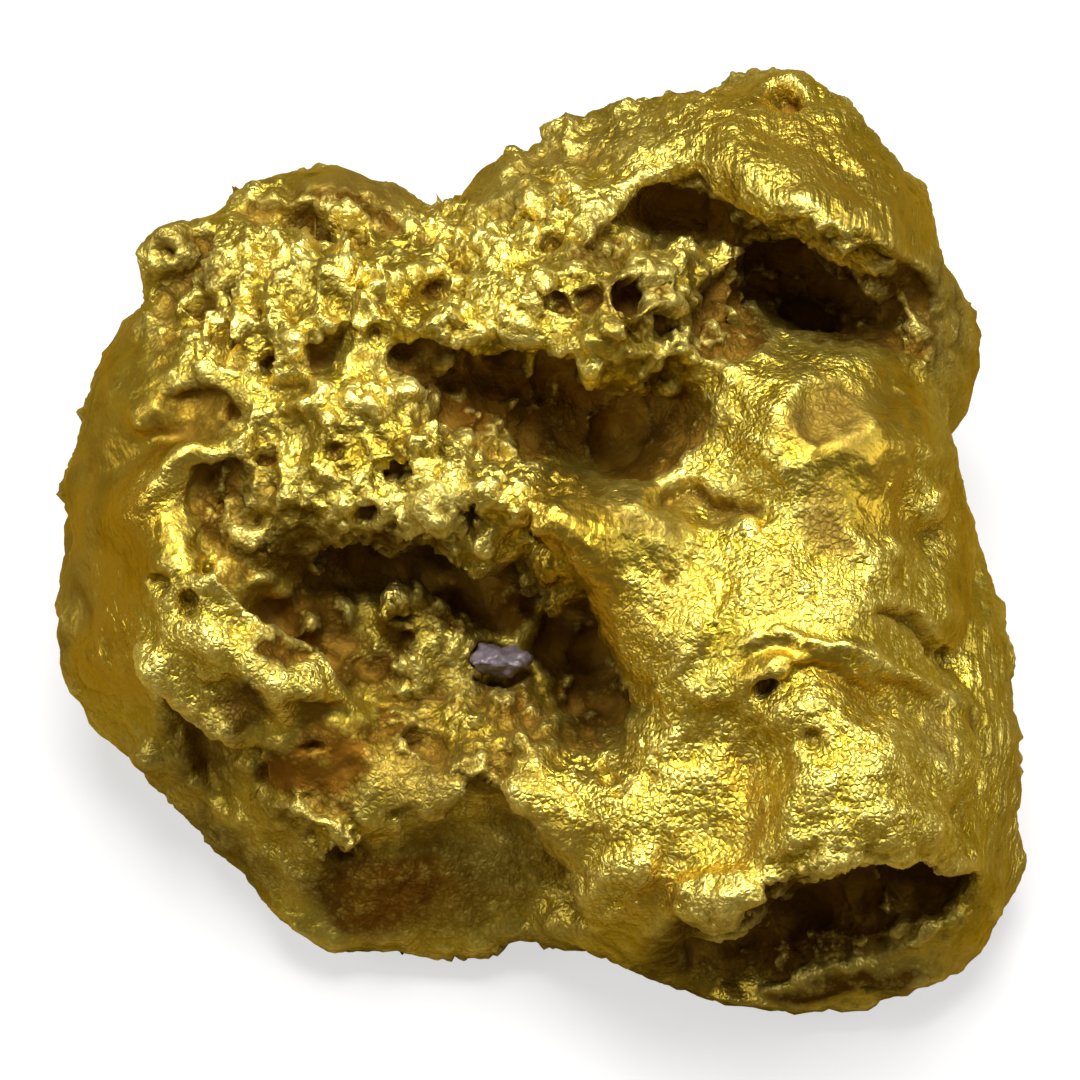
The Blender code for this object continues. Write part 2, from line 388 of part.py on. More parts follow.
def sides():
    return [
        Side(face_axes(), FACE_HEIGHT, 0.0, SHOW_LEDGES, SHOW_TROUGHS, SHOW_CRESTS, SHOW_PITS),
        Side(BACK_AXES, 0.0, 0.4, BACK_LEDGES, BACK_TROUGHS, BACK_CRESTS, BACK_PITS),
        Side(RIGHT_AXES, 0.0, 0.4, RIGHT_LEDGES, RIGHT_TROUGHS, RIGHT_CRESTS, RIGHT_PITS),
        Side(LEFT_AXES, 0.0, 0.4, LEFT_LEDGES, LEFT_TROUGHS, LEFT_CRESTS, LEFT_PITS),
    ]


def to_world(places):
    """World coordinates in metres of places given along the face's axes in millimetres."""
    return (np.asarray(places) @ face_axes() + (0.0, 0.0, FACE_HEIGHT)) * MM


def to_side(points, side):
    """Places along a side's axes, in millimetres, of world points in metres."""
    return (points / MM - (0.0, 0.0, side.height)) @ np.array(side.axes).T


def points_of(mesh):
    flat = np.empty(len(mesh.vertices) * 3, np.float32)
    mesh.vertices.foreach_get("co", flat)
    return flat.reshape(-1, 3).astype(float)


def normals_of(mesh):
    flat = np.empty(len(mesh.vertices) * 3, np.float32)
    mesh.vertex_normals.foreach_get("vector", flat)
    return flat.reshape(-1, 3).astype(float)


def set_points(mesh, points):
    mesh.vertices.foreach_set("co", np.asarray(points, np.float32).ravel())
    mesh.update()


def ramp(value, low, high):
    """0 below low, 1 above high, and a smooth step between."""
    share = np.clip((value - low) / (high - low), 0, 1)
    return share * share * (3 - 2 * share)


def rim_at(angles):
    """Distance from the outline's centre and the rim's place out of the face, at these angles."""
    rim = np.array(RIM)
    arms = rim[:, :2] - OUTLINE_CENTRE
    turn = np.arctan2(arms[:, 1], arms[:, 0])
    reach = np.hypot(*arms.T)
    order = np.argsort(turn)
    return (
        np.interp(angles, turn[order], reach[order], period=math.tau),
        np.interp(angles, turn[order], rim[order, 2], period=math.tau),
    )


def plain_rim_at(angles):
    """The rim without its notches, which only the edge has: its mean over a wide angle."""
    return np.mean([rim_at(angles + turn) for turn in np.linspace(-0.5, 0.5, 11)], axis=0)


def relief_at(across, up):
    """Height of the show face there: the nearby stated heights, each weighted by its nearness."""
    places = np.array([place for region in RELIEF.values() for place in region])
    apart = (across[:, None] - places[:, 0]) ** 2 + (up[:, None] - places[:, 1]) ** 2
    far_from_all = 1e-9 / (apart + 0.1) ** 3
    weight = np.exp(-apart / (2 * RELIEF_SPREAD**2)) + far_from_all
    return (weight @ places[:, 2]) / weight.sum(axis=1)


def body_blank():
    """The lump's main form: a ball whose outline is the rim and whose front is the relief."""
    form = bmesh.new()
    bmesh.ops.create_icosphere(form, subdivisions=BALL_SUBDIVISIONS, radius=1.0)
    mesh = bpy.data.meshes.new("body_blank")
    form.to_mesh(mesh)
    form.free()

    ball = points_of(mesh)
    share = np.clip(np.hypot(ball[:, 0], ball[:, 1]), 0, 1)
    angle = np.arctan2(ball[:, 1], ball[:, 0])
    reach, rim_out = rim_at(angle)
    plain_reach, plain_out = plain_rim_at(angle)
    plain = (1 - ramp(share, 0.8, 1.0)) * (ball[:, 2] < 0)
    reach = reach + (plain_reach - reach) * plain
    rim_out = rim_out + (plain_out - rim_out) * plain
    reach = reach * (1 - rim_out / EYE_DISTANCE)

    across = OUTLINE_CENTRE[0] + reach * share * np.cos(angle)
    up = OUTLINE_CENTRE[1] + reach * share * np.sin(angle)
    inset = np.clip((1 - share) * reach / EDGE_ROUNDING, 0, 1)
    rounding = np.sqrt(1 - (1 - inset) ** 2)
    ahead = rim_out + (relief_at(across, up) - rim_out) * rounding
    behind = rim_out - BACK_DEPTH * np.sqrt(1 - share**BACK_FULLNESS)
    out = np.where(ball[:, 2] >= 0, ahead, behind)
    set_points(mesh, to_world(np.column_stack([across, up, out])))
    return mesh


def at_face_place(place, turn, radii):
    """The matrix that lays a ball of radius 1 on the face's axes, turned and given these radii."""
    axes = Matrix(face_axes().T.tolist()).to_4x4()
    spin = Matrix.Rotation(math.radians(turn), 4, "Z")
    size = Matrix.Diagonal(Vector([radius * MM for radius in radii] + [1.0]))
    return Matrix.Translation(place) @ axes @ spin @ size


def add_lumps(mesh):
    form = bmesh.new()
    form.from_mesh(mesh)
    for centre, radii, turn in LUMPS.values():
        lay = at_face_place(Vector(to_world(centre)), turn, radii)
        bmesh.ops.create_icosphere(form, subdivisions=LUMP_SUBDIVISIONS, radius=1.0, matrix=lay)
    form.to_mesh(mesh)
    form.free()


def with_modifier(mesh, kind, settings):
    """A new mesh: this one as a modifier of that kind leaves it."""
    holder = bpy.data.objects.new("holder", mesh)
    bpy.context.scene.collection.objects.link(holder)
    modifier = holder.modifiers.new("step", kind)
    for name, value in settings.items():
        setattr(modifier, name, value)
    graph = bpy.context.evaluated_depsgraph_get()
    made = bpy.data.meshes.new_from_object(holder.evaluated_get(graph))
    bpy.data.objects.remove(holder)
    return made


def fused(mesh, grid):
    """The mesh's overlapping shells made one even skin of small squares."""
    return with_modifier(mesh, "REMESH", {"mode": "VOXEL", "voxel_size": grid * MM})


def thinned(mesh):
    triangles = sum(len(face.vertices) - 2 for face in mesh.polygons)
    share = MOST_TRIANGLES / triangles
    return with_modifier(mesh, "DECIMATE", {"ratio": share, "use_collapse_triangulate": True})


def along_line(across, up, line):
    """Distance from a line, on which side of it (+1 on the left), and a fade near its two ends."""
    ends = np.array(line)
    steps = np.diff(ends, axis=0)
    lengths = np.hypot(*steps.T)
    nearest = np.full(len(across), np.inf)
    side = np.zeros(len(across))
    travelled = np.zeros(len(across))
    before = 0.0
    for start, step, length in zip(ends, steps, lengths):
        here = np.column_stack([across - start[0], up - start[1]])
        share = np.clip(here @ step / length**2, 0, 1)
        gap = here - share[:, None] * step
        apart = np.hypot(*gap.T)
        closer = apart < nearest
        turned = step[0] * gap[:, 1] - step[1] * gap[:, 0]
        nearest = np.where(closer, apart, nearest)
        side = np.where(closer, np.sign(turned), side)
        travelled = np.where(closer, before + share * length, travelled)
        before += length
    from_end = np.minimum(travelled, before - travelled) / before
    return nearest, side, ramp(from_end, -0.02, 0.16)


def stroke_height(across, up, side):
    """How far a side's strokes move the surface out at each place."""
    move = np.zeros(len(across))
    for line, drop, high_run, low_run in side.ledges.values():
        apart, on_side, fade = along_line(across, up, line)
        run = np.where(on_side > 0, high_run, low_run)
        move += on_side * drop / 2 * np.tanh(apart / LEDGE_SOFTNESS) * np.exp(-apart / run) * fade
    for line, depth, half_width in side.troughs.values():
        apart, on_side, fade = along_line(across, up, line)
        move -= depth * np.exp(-((apart / half_width) ** 2)) * fade
    for line, height, half_width in side.crests.values():
        apart, on_side, fade = along_line(across, up, line)
        move += height * np.exp(-apart / half_width) * fade
    for middle_across, middle_up, radius, depth, stretch, turn in side.pits:
        cosine, sine = math.cos(math.radians(turn)), math.sin(math.radians(turn))
        along = (across - middle_across) * cosine + (up - middle_up) * sine
        beside = (up - middle_up) * cosine - (across - middle_across) * sine
        apart = np.hypot(along / stretch, beside) / radius
        move -= depth * (1 - ramp(apart, 0.35, 1.25))
    return move


def ragged(places):
    """The places, shifted by an uneven wobble."""
    shift = np.array([noise.turbulence_vector(Vector(place / RAGGED_SIZE), 2, False) for place in places])
    return places + shift * RAGGED_DEPTH


def sculpt(mesh):
    """Move the surface by the strokes of every side, each only where the surface faces that side."""
    points = points_of(mesh)
    normals = normals_of(mesh)
    for side in sides():
        out = np.array(side.axes[2])
        places = ragged(to_side(points, side))
        share = ramp(normals @ out, side.least_facing, side.least_facing + FACING_FADE)
        move = stroke_height(places[:, 0], places[:, 1], side) * share
        points = points + move[:, None] * out * MM
    set_points(mesh, points)


def wear(mesh):
    """Press the lump's worn flats in."""
    points = points_of(mesh) / MM
    for middle, normal, softness in FLATS:
        normal = np.array(normal) / np.linalg.norm(normal)
        beyond = (points - middle) @ normal
        pressed = softness * np.logaddexp(0, beyond / softness) * FLAT_WEAR
        points -= pressed[:, None] * normal
    set_points(mesh, points * MM)


def crust_share(across, up):
    """1 in the crumbly crust, 0 on the smooth worn gold."""
    share = np.zeros(len(across))
    for middle_across, middle_up, radius in CRUST:
        apart = np.hypot(across - middle_across, up - middle_up) / radius
        share = np.maximum(share, 1 - ramp(apart, 0.6, 1.15))
    return share


def crust_lumps(places):
    """Rounded lumps: 1 at the middle of each, and near 0 in the seams between them."""
    nearest = np.array([noise.voronoi(Vector(place / CRUST_LUMP_SIZE))[0][0] for place in places])
    return 1 - np.clip(nearest / CRUST_LUMP_REACH, 0, 1) ** 2


def waves(places):
    lacunarity = 2.1
    return np.array([
        noise.fractal(Vector(place / WAVE_SIZE), WAVE_ROUGHNESS, lacunarity, WAVE_OCTAVES)
        for place in places
    ])


def roughen(mesh):
    """Raise the crust's lumps, on the hidden sides half as rough, and make the whole surface uneven."""
    points = points_of(mesh)
    normals = normals_of(mesh)
    face = sides()[0]
    places = to_side(points, face)
    facing = normals @ face.axes[2]
    crust = crust_share(places[:, 0], places[:, 1]) * ramp(facing, -0.2, 0.2)
    hidden = 1 - ramp(facing, -0.4, 0.1)
    lumps = CRUST_LUMP_HEIGHT * (crust_lumps(places) - 0.5) * (crust + hidden / 2)
    move = WAVE_HEIGHT * waves(places) + lumps
    set_points(mesh, points + normals * (move * MM)[:, None])


def underside_height(points):
    """How high the underside lies at each point: 0 on the worn patch, and more away from it."""
    out_of_patch = np.hypot(*((points[:, :2] / MM - PATCH_MIDDLE) / PATCH_RADII).T) - 1
    places = points / MM / UNDERSIDE_HOLLOW_SIZE
    hollows = np.array([max(noise.noise(Vector(place)), 0) for place in places])
    rise = UNDERSIDE_LIFT * np.maximum(out_of_patch, 0) ** 1.5 + UNDERSIDE_HOLLOWS * hollows
    return rise * ramp(out_of_patch, 0, 0.3) * MM


def settle(mesh):
    """Wear the underside to the surface that it lies on, with a flat patch where it touches."""
    points = points_of(mesh)
    soft = UNDERSIDE_SOFTNESS * MM
    lowest = underside_height(points)
    above = soft * np.logaddexp(0, (points[:, 2] - lowest) / soft) - PATCH_WEAR * MM
    points[:, 2] = lowest + above
    set_points(mesh, points)
    flatten_base(mesh)


def flatten_base(mesh):
    points = points_of(mesh)
    points[points[:, 2] < FLAT_REACH * MM, 2] = 0
    set_points(mesh, points)


def gold_shape():
    mesh = body_blank()
    add_lumps(mesh)
    mesh = fused(mesh, BLANK_GRID)
    wear(mesh)
    sculpt(mesh)
    mesh = fused(mesh, FINE_GRID)
    roughen(mesh)
    settle(mesh)
    mesh = thinned(mesh)
    flatten_base(mesh)
    return mesh


def grain_shape(seat, growth):
    """An angular chip of quartz, lying across the hollow; growth is added all round."""
    form = bmesh.new()
    bmesh.ops.create_icosphere(form, subdivisions=2, radius=1.0)
    for normal, reach in GRAIN_FACES:
        normal = Vector(normal).normalized()
        whole = form.verts[:] + form.edges[:] + form.faces[:]
        cut_at = normal * reach
        bmesh.ops.bisect_plane(form, geom=whole, plane_co=cut_at, plane_no=normal, clear_outer=True)
        bmesh.ops.contextual_create(form, geom=[edge for edge in form.edges if edge.is_boundary])
    flat = math.radians(GRAIN_FLATNESS)
    bmesh.ops.dissolve_limit(form, angle_limit=flat, verts=form.verts, edges=form.edges)
    bmesh.ops.triangulate(form, faces=form.faces)
    lay = at_face_place(seat, GRAIN_TURN, [radius + growth for radius in GRAIN_RADII])
    bmesh.ops.transform(form, matrix=lay, verts=form.verts)
    mesh = bpy.data.meshes.new("quartz_grain")
    form.to_mesh(mesh)
    form.free()
    return mesh


def surface_at(mesh, across, up):
    """The point of the show face that lies at these places across it and up it."""
    form = bmesh.new()
    form.from_mesh(mesh)
    tree = BVHTree.FromBMesh(form)
    form.free()
    above = Vector(to_world((across, up, ABOVE_ALL)))
    return tree.ray_cast(above, Vector(-face_axes()[2]))[0]


def material(name, colour, metallic, roughness):
    made = bpy.data.materials.new(name)
    made.use_nodes = True
    shader = made.node_tree.nodes["Principled BSDF"]
    shader.inputs["Base Color"].default_value = (*colour, 1.0)
    shader.inputs["Metallic"].default_value = metallic
    shader.inputs["Roughness"].default_value = roughness
    return made


def new_collection(name):
    made = bpy.data.collections.new(name)
    bpy.context.scene.collection.children.link(made)
    return made


def new_object(name, mesh, collection):
    mesh.transform(Matrix.Translation(Vector(TO_MIDDLE) * MM))
    made = bpy.data.objects.new(name, mesh)
    collection.objects.link(made)
    return made


def set_material(piece, surface):
    piece.data.materials.clear()
    piece.data.materials.append(surface)


def cut_socket(body, socket):
    """Cut the grain's socket out of the gold."""
    socket.display_type = "WIRE"
    socket.hide_render = True
    cut = body.modifiers.new("grain socket", "BOOLEAN")
    cut.operation = "DIFFERENCE"
    cut.solver = "EXACT"
    cut.object = socket


def build():
    noise.seed_set(WOBBLE_SEED)
    clear_scene()
    nugget = new_collection("gold_nugget")
    cutters = new_collection("cutters")

    gold_mesh = gold_shape()
    seat = surface_at(gold_mesh, *GRAIN_PLACE) + Vector(face_axes()[2]) * GRAIN_LIFT * MM
    body = new_object("gold_body", gold_mesh, nugget)
    grain = new_object("quartz_grain", grain_shape(seat, 0.0), nugget)
    socket = new_object("grain_socket", grain_shape(seat, GRAIN_GAP), cutters)
    cut_socket(body, socket)

    set_material(body, material("native_gold", (0.78, 0.53, 0.13), 1.0, 0.4))
    set_material(grain, material("host_quartz", (0.5, 0.46, 0.5), 0.0, 0.35))


build()
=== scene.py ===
"""The gold nugget's looks: its crumbly crust, pits, worn folds, brown stain and frosted grain, laid
over the CAD solids, with its chip of host quartz and a plain stage."""

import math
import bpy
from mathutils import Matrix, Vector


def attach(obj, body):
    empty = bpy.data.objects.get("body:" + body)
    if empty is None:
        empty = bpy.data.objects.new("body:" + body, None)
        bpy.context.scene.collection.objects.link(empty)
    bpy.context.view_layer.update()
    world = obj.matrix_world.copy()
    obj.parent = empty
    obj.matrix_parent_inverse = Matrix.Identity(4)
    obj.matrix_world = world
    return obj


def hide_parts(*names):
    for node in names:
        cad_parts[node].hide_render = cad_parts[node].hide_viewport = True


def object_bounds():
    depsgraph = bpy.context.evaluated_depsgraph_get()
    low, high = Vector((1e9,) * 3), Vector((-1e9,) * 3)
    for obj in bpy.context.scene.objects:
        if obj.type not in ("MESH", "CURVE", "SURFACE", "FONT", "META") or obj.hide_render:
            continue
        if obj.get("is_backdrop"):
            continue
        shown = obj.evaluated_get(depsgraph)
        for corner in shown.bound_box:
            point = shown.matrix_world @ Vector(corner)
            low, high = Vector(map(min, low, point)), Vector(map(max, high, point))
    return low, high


bl_info = {
    "name": "Gold Nugget Looks",
    "version": (1, 0, 0),
    "blender": (4, 5, 0),
    "location": "View3D > Sidebar > Nugget",
    "description": "Gives the nugget's solids their crust, pits, stain, frosted grain and stage",
    "category": "Object",
}

import bmesh
import bpy
import numpy as np
from mathutils import Matrix, Vector, noise

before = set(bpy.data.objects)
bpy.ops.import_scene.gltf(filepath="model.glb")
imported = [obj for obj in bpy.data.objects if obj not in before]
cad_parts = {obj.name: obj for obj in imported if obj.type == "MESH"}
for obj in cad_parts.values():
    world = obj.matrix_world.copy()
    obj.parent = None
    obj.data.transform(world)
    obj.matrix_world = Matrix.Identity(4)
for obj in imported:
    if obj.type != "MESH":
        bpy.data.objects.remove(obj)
CAD_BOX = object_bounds()

# Without a seed, the noise that bends places would change with the time of day.
NOISE_SEED = 7
noise.seed_set(NOISE_SEED)

MM = 0.001

# The show face leans back, and the places below are on it as seen from squarely in front:
# millimetres across to the right and up from its middle.
FACE_LEAN = math.radians(60)
FACE_MIDDLE = (0.02, -0.81, 3.85)
ACROSS = Vector((1, 0, 0))
UP = Vector((0, math.sin(FACE_LEAN), math.cos(FACE_LEAN)))
OUT = Vector((0, -math.cos(FACE_LEAN), math.sin(FACE_LEAN)))
EYE_DISTANCE = 90.0

# Pits, and knobs where the depth is below 0: place across and up, half their width, depth,
# stretch, and turn in degrees.
PITS = [
    (-2.6, -1.49, 0.32, 0.2, 2.4, -30), (-3.2, -1.12, 0.187, 0.2, 3, -38),
    (-1.8, -2.73, 0.347, 0.14, 1.8, -15), (2.49, 2.96, 0.453, 0.32, 1.3, 90),
    (1.07, -4.64, 0.48, -0.28, 1.3, 40), (-3.96, -2.08, 0.187, 0.08, 2.4, -40),
    (-1.32, 3.27, 0.293, 0.14, 1.5, 12), (-1.24, 3.2, 0.093, -0.06, 1.6, 20),
    (-0.27, 4.33, 0.107, 0.18, 2, 5), (0.09, 4.37, 0.08, 0.14, 1.3, 0),
    (0.29, 4.59, 0.093, 0.16, 1, 0), (0.09, 4.04, 0.107, 0.2, 1.2, 0),
    (0.67, 4.13, 0.12, 0.2, 2.4, 0), (1.25, 3.29, 0.227, 0.4, 1, 0),
    (2.45, 3.43, 0.147, 0.3, 1.3, 60), (0.61, 3.24, 0.12, 0.2, 1.3, 20),
    (0.23, 3.13, 0.107, 0.2, 2.2, -12), (1.65, 2.84, 0.253, 0.25, 1.1, 0),
    (1.71, 2.71, 0.107, -0.2, 1.5, 10), (2.19, 2.73, 0.2, 0.35, 1.5, 80),
    (0.45, 2.39, 0.08, 0.2, 1.2, 0), (3.27, 5.93, 0.173, 0.4, 1.5, -30),
    (-0.37, 4.96, 0.173, -0.14, 1.3, 20), (0.29, 5.49, 0.187, -0.14, 1.4, 15),
    (1.07, 5.76, 0.173, -0.1, 1.4, 10), (-4.99, 3.85, 0.133, 0.25, 1.2, -20),
    (-3.69, 2.31, 0.107, 0.2, 1.6, 10), (-4.13, 1.71, 0.107, 0.2, 1.3, 0),
    (-3.63, 1.16, 0.107, 0.22, 1.3, 0), (-2.72, 1.16, 0.08, 0.15, 1.8, 0),
    (-1.91, 0.89, 0.16, 0.3, 1.6, -12), (-2.27, 0.35, 0.093, 0.22, 2.3, 0),
    (-0.93, 0.39, 0.16, 0.16, 1.2, 0), (-0.04, 0.05, 0.12, 0.22, 1.4, -30),
    (-2.91, -0.6, 0.12, 0.2, 1.4, 0), (-4.71, -0.87, 0.133, 0.2, 1.5, 60),
    (-5.12, -0.56, 0.107, 0.12, 1.4, 0), (-4.36, -0.27, 0.08, 0.3, 1.8, 80),
    (-1.68, -2.6, 0.093, 0.28, 1.3, 70), (-2.23, -2.53, 0.067, 0.14, 1, 0),
    (-3.03, -2.77, 0.067, 0.2, 2.4, 15), (3.01, -2, 0.093, 0.24, 2.4, 32),
    (3.59, -2.65, 0.12, 0.14, 1.3, 60), (-2.65, -4.25, 0.08, 0.18, 2.2, 0),
    (5.28, -4.61, 0.173, 0.3, 1.9, -10), (3.45, 2.99, 0.173, 0.3, 1.6, -25),
    (3.76, 1.72, 0.4, 0.1, 1.3, 0), (-0.47, 2.4, 0.12, 0.16, 1.6, 0),
    (-3.28, 2.01, 0.16, 0.2, 1.4, 40), (-4.08, 3.24, 0.093, 0.14, 1.3, 0),
    (-3.44, -1, 0.213, 0.12, 1.7, 10), (-1.81, -1.09, 0.093, 0.2, 2.4, 5),
    (-1.8, -1.47, 0.173, 0.2, 1.4, 30), (0.93, -3.13, 0.093, 0.14, 1.2, 0),
    (1.03, -3.33, 0.08, 0.14, 1.2, 0), (0.85, -2.99, 0.067, 0.12, 1.2, 0),
    (1.52, -3.16, 0.08, 0.1, 1.2, 0), (0.67, -1.6, 0.187, 0.2, 1.7, -62),
    (0.84, -2.2, 0.16, 0.2, 1.6, -60), (0.43, -2.13, 0.16, 0.15, 1.5, -40),
    (1.77, -0.52, 0.08, 0.1, 1.5, 0), (1.53, -1.05, 0.067, 0.1, 1.3, 0),
    (-3.08, 4.28, 0.187, 0.16, 2.2, -10), (-0.13, -0.93, 0.12, 0.14, 1.4, -30),
    (4.41, -5.97, 0.067, 0.16, 2.6, 0), (4.67, 0.6, 0.4, 0.07, 1.8, 75), (0, 2, 0.16, 0.14, 1.3, 0),
    (0.8, 1.33, 0.293, 0.14, 1.6, 0), (-0.13, 1.33, 0.24, 0.12, 1.5, 80),
    (-1.13, 2.13, 0.133, 0.14, 1.5, 60), (1.33, 1.6, 0.213, 0.2, 1.3, 20),
    (3.2, 3.67, 0.187, 0.25, 1.8, -10), (4.13, 3.2, 0.16, 0.2, 2, -20),
    (4.87, 2.87, 0.133, 0.18, 1.8, -40), (3, 3.33, 0.133, 0.25, 1.4, 0),
    (-4.55, 3.47, 0.093, -0.14, 1.1, 0), (-4.75, 3.08, 0.133, -0.14, 1.2, 0),
    (-4.21, 2.95, 0.147, -0.16, 1.1, 0), (-5.28, 1.65, 0.227, -0.12, 1.4, 30),
    (-4.01, 0.04, 0.213, -0.16, 1.1, 0), (-3.67, -0.52, 0.107, -0.16, 1.2, -20),
    (-2.95, -0.37, 0.133, -0.16, 1.2, 0), (-0.32, 1.87, 0.12, -0.2, 1.1, 0),
    (0.59, 2.09, 0.107, -0.18, 1.2, 0), (0.72, 2.31, 0.107, -0.18, 1.3, 0),
    (1.91, 3.75, 0.173, -0.25, 1.2, 0), (2.52, 3.81, 0.173, -0.25, 1.3, -20),
    (1.53, 3.53, 0.12, -0.18, 1.3, 0), (2.13, 3.2, 0.133, -0.2, 1.3, 30),
    (0.93, 2.8, 0.12, -0.15, 1.4, 0), (2.72, 0.2, 0.147, -0.1, 1.2, 0),
    (1.67, -2.43, 0.453, -0.14, 1.5, 35), (4.87, -3.8, 0.4, -0.12, 1.4, 0),
    (2.13, 0.93, 0.4, -0.12, 1.6, -10), (5.27, 0.45, 0.213, -0.12, 1.4, 70),
    (2.35, -4.75, 0.373, -0.25, 1.5, 15), (-1.49, 1.35, 0.2, -0.2, 1.1, 0),
    (-0.73, 0.67, 0.16, -0.12, 1.3, 0), (-0.77, -0.07, 0.32, -0.3, 1.4, -20),
    (0.27, -0.47, 0.267, -0.3, 1.7, -55), (-1.27, 0.24, 0.213, -0.2, 1.3, 0),
    (-1.2, 0, 0.16, -0.15, 1.3, -20), (0.2, -0.33, 0.16, -0.14, 1.3, -30),
    (0.29, -0.73, 0.16, -0.14, 1.3, 0), (0.07, -2.47, 0.133, -0.12, 1.4, 0),
    (-0.53, -2.13, 0.16, -0.14, 1.4, 0), (-0.93, -2.4, 0.133, -0.12, 1.3, 0),
    (-0.27, -2.6, 0.12, -0.12, 1.3, 0), (3.67, -4.73, 0.08, -0.14, 1.3, 0),
    (4.93, -5.2, 0.24, -0.16, 1.6, 10), (-4.37, 0.37, 0.24, -0.25, 1.6, 80),
    (-4.67, -1.33, 0.32, -0.1, 2, -45), (1.67, 2, 0.133, -0.14, 1.3, 0),
    (2, 2.4, 0.133, -0.12, 1.4, 0), (-1.87, 2, 0.16, -0.14, 1.3, 0),
    (-2.43, 1.93, 0.173, -0.14, 1.4, 0), (-2.8, 1.6, 0.16, -0.12, 1.3, 0),
]

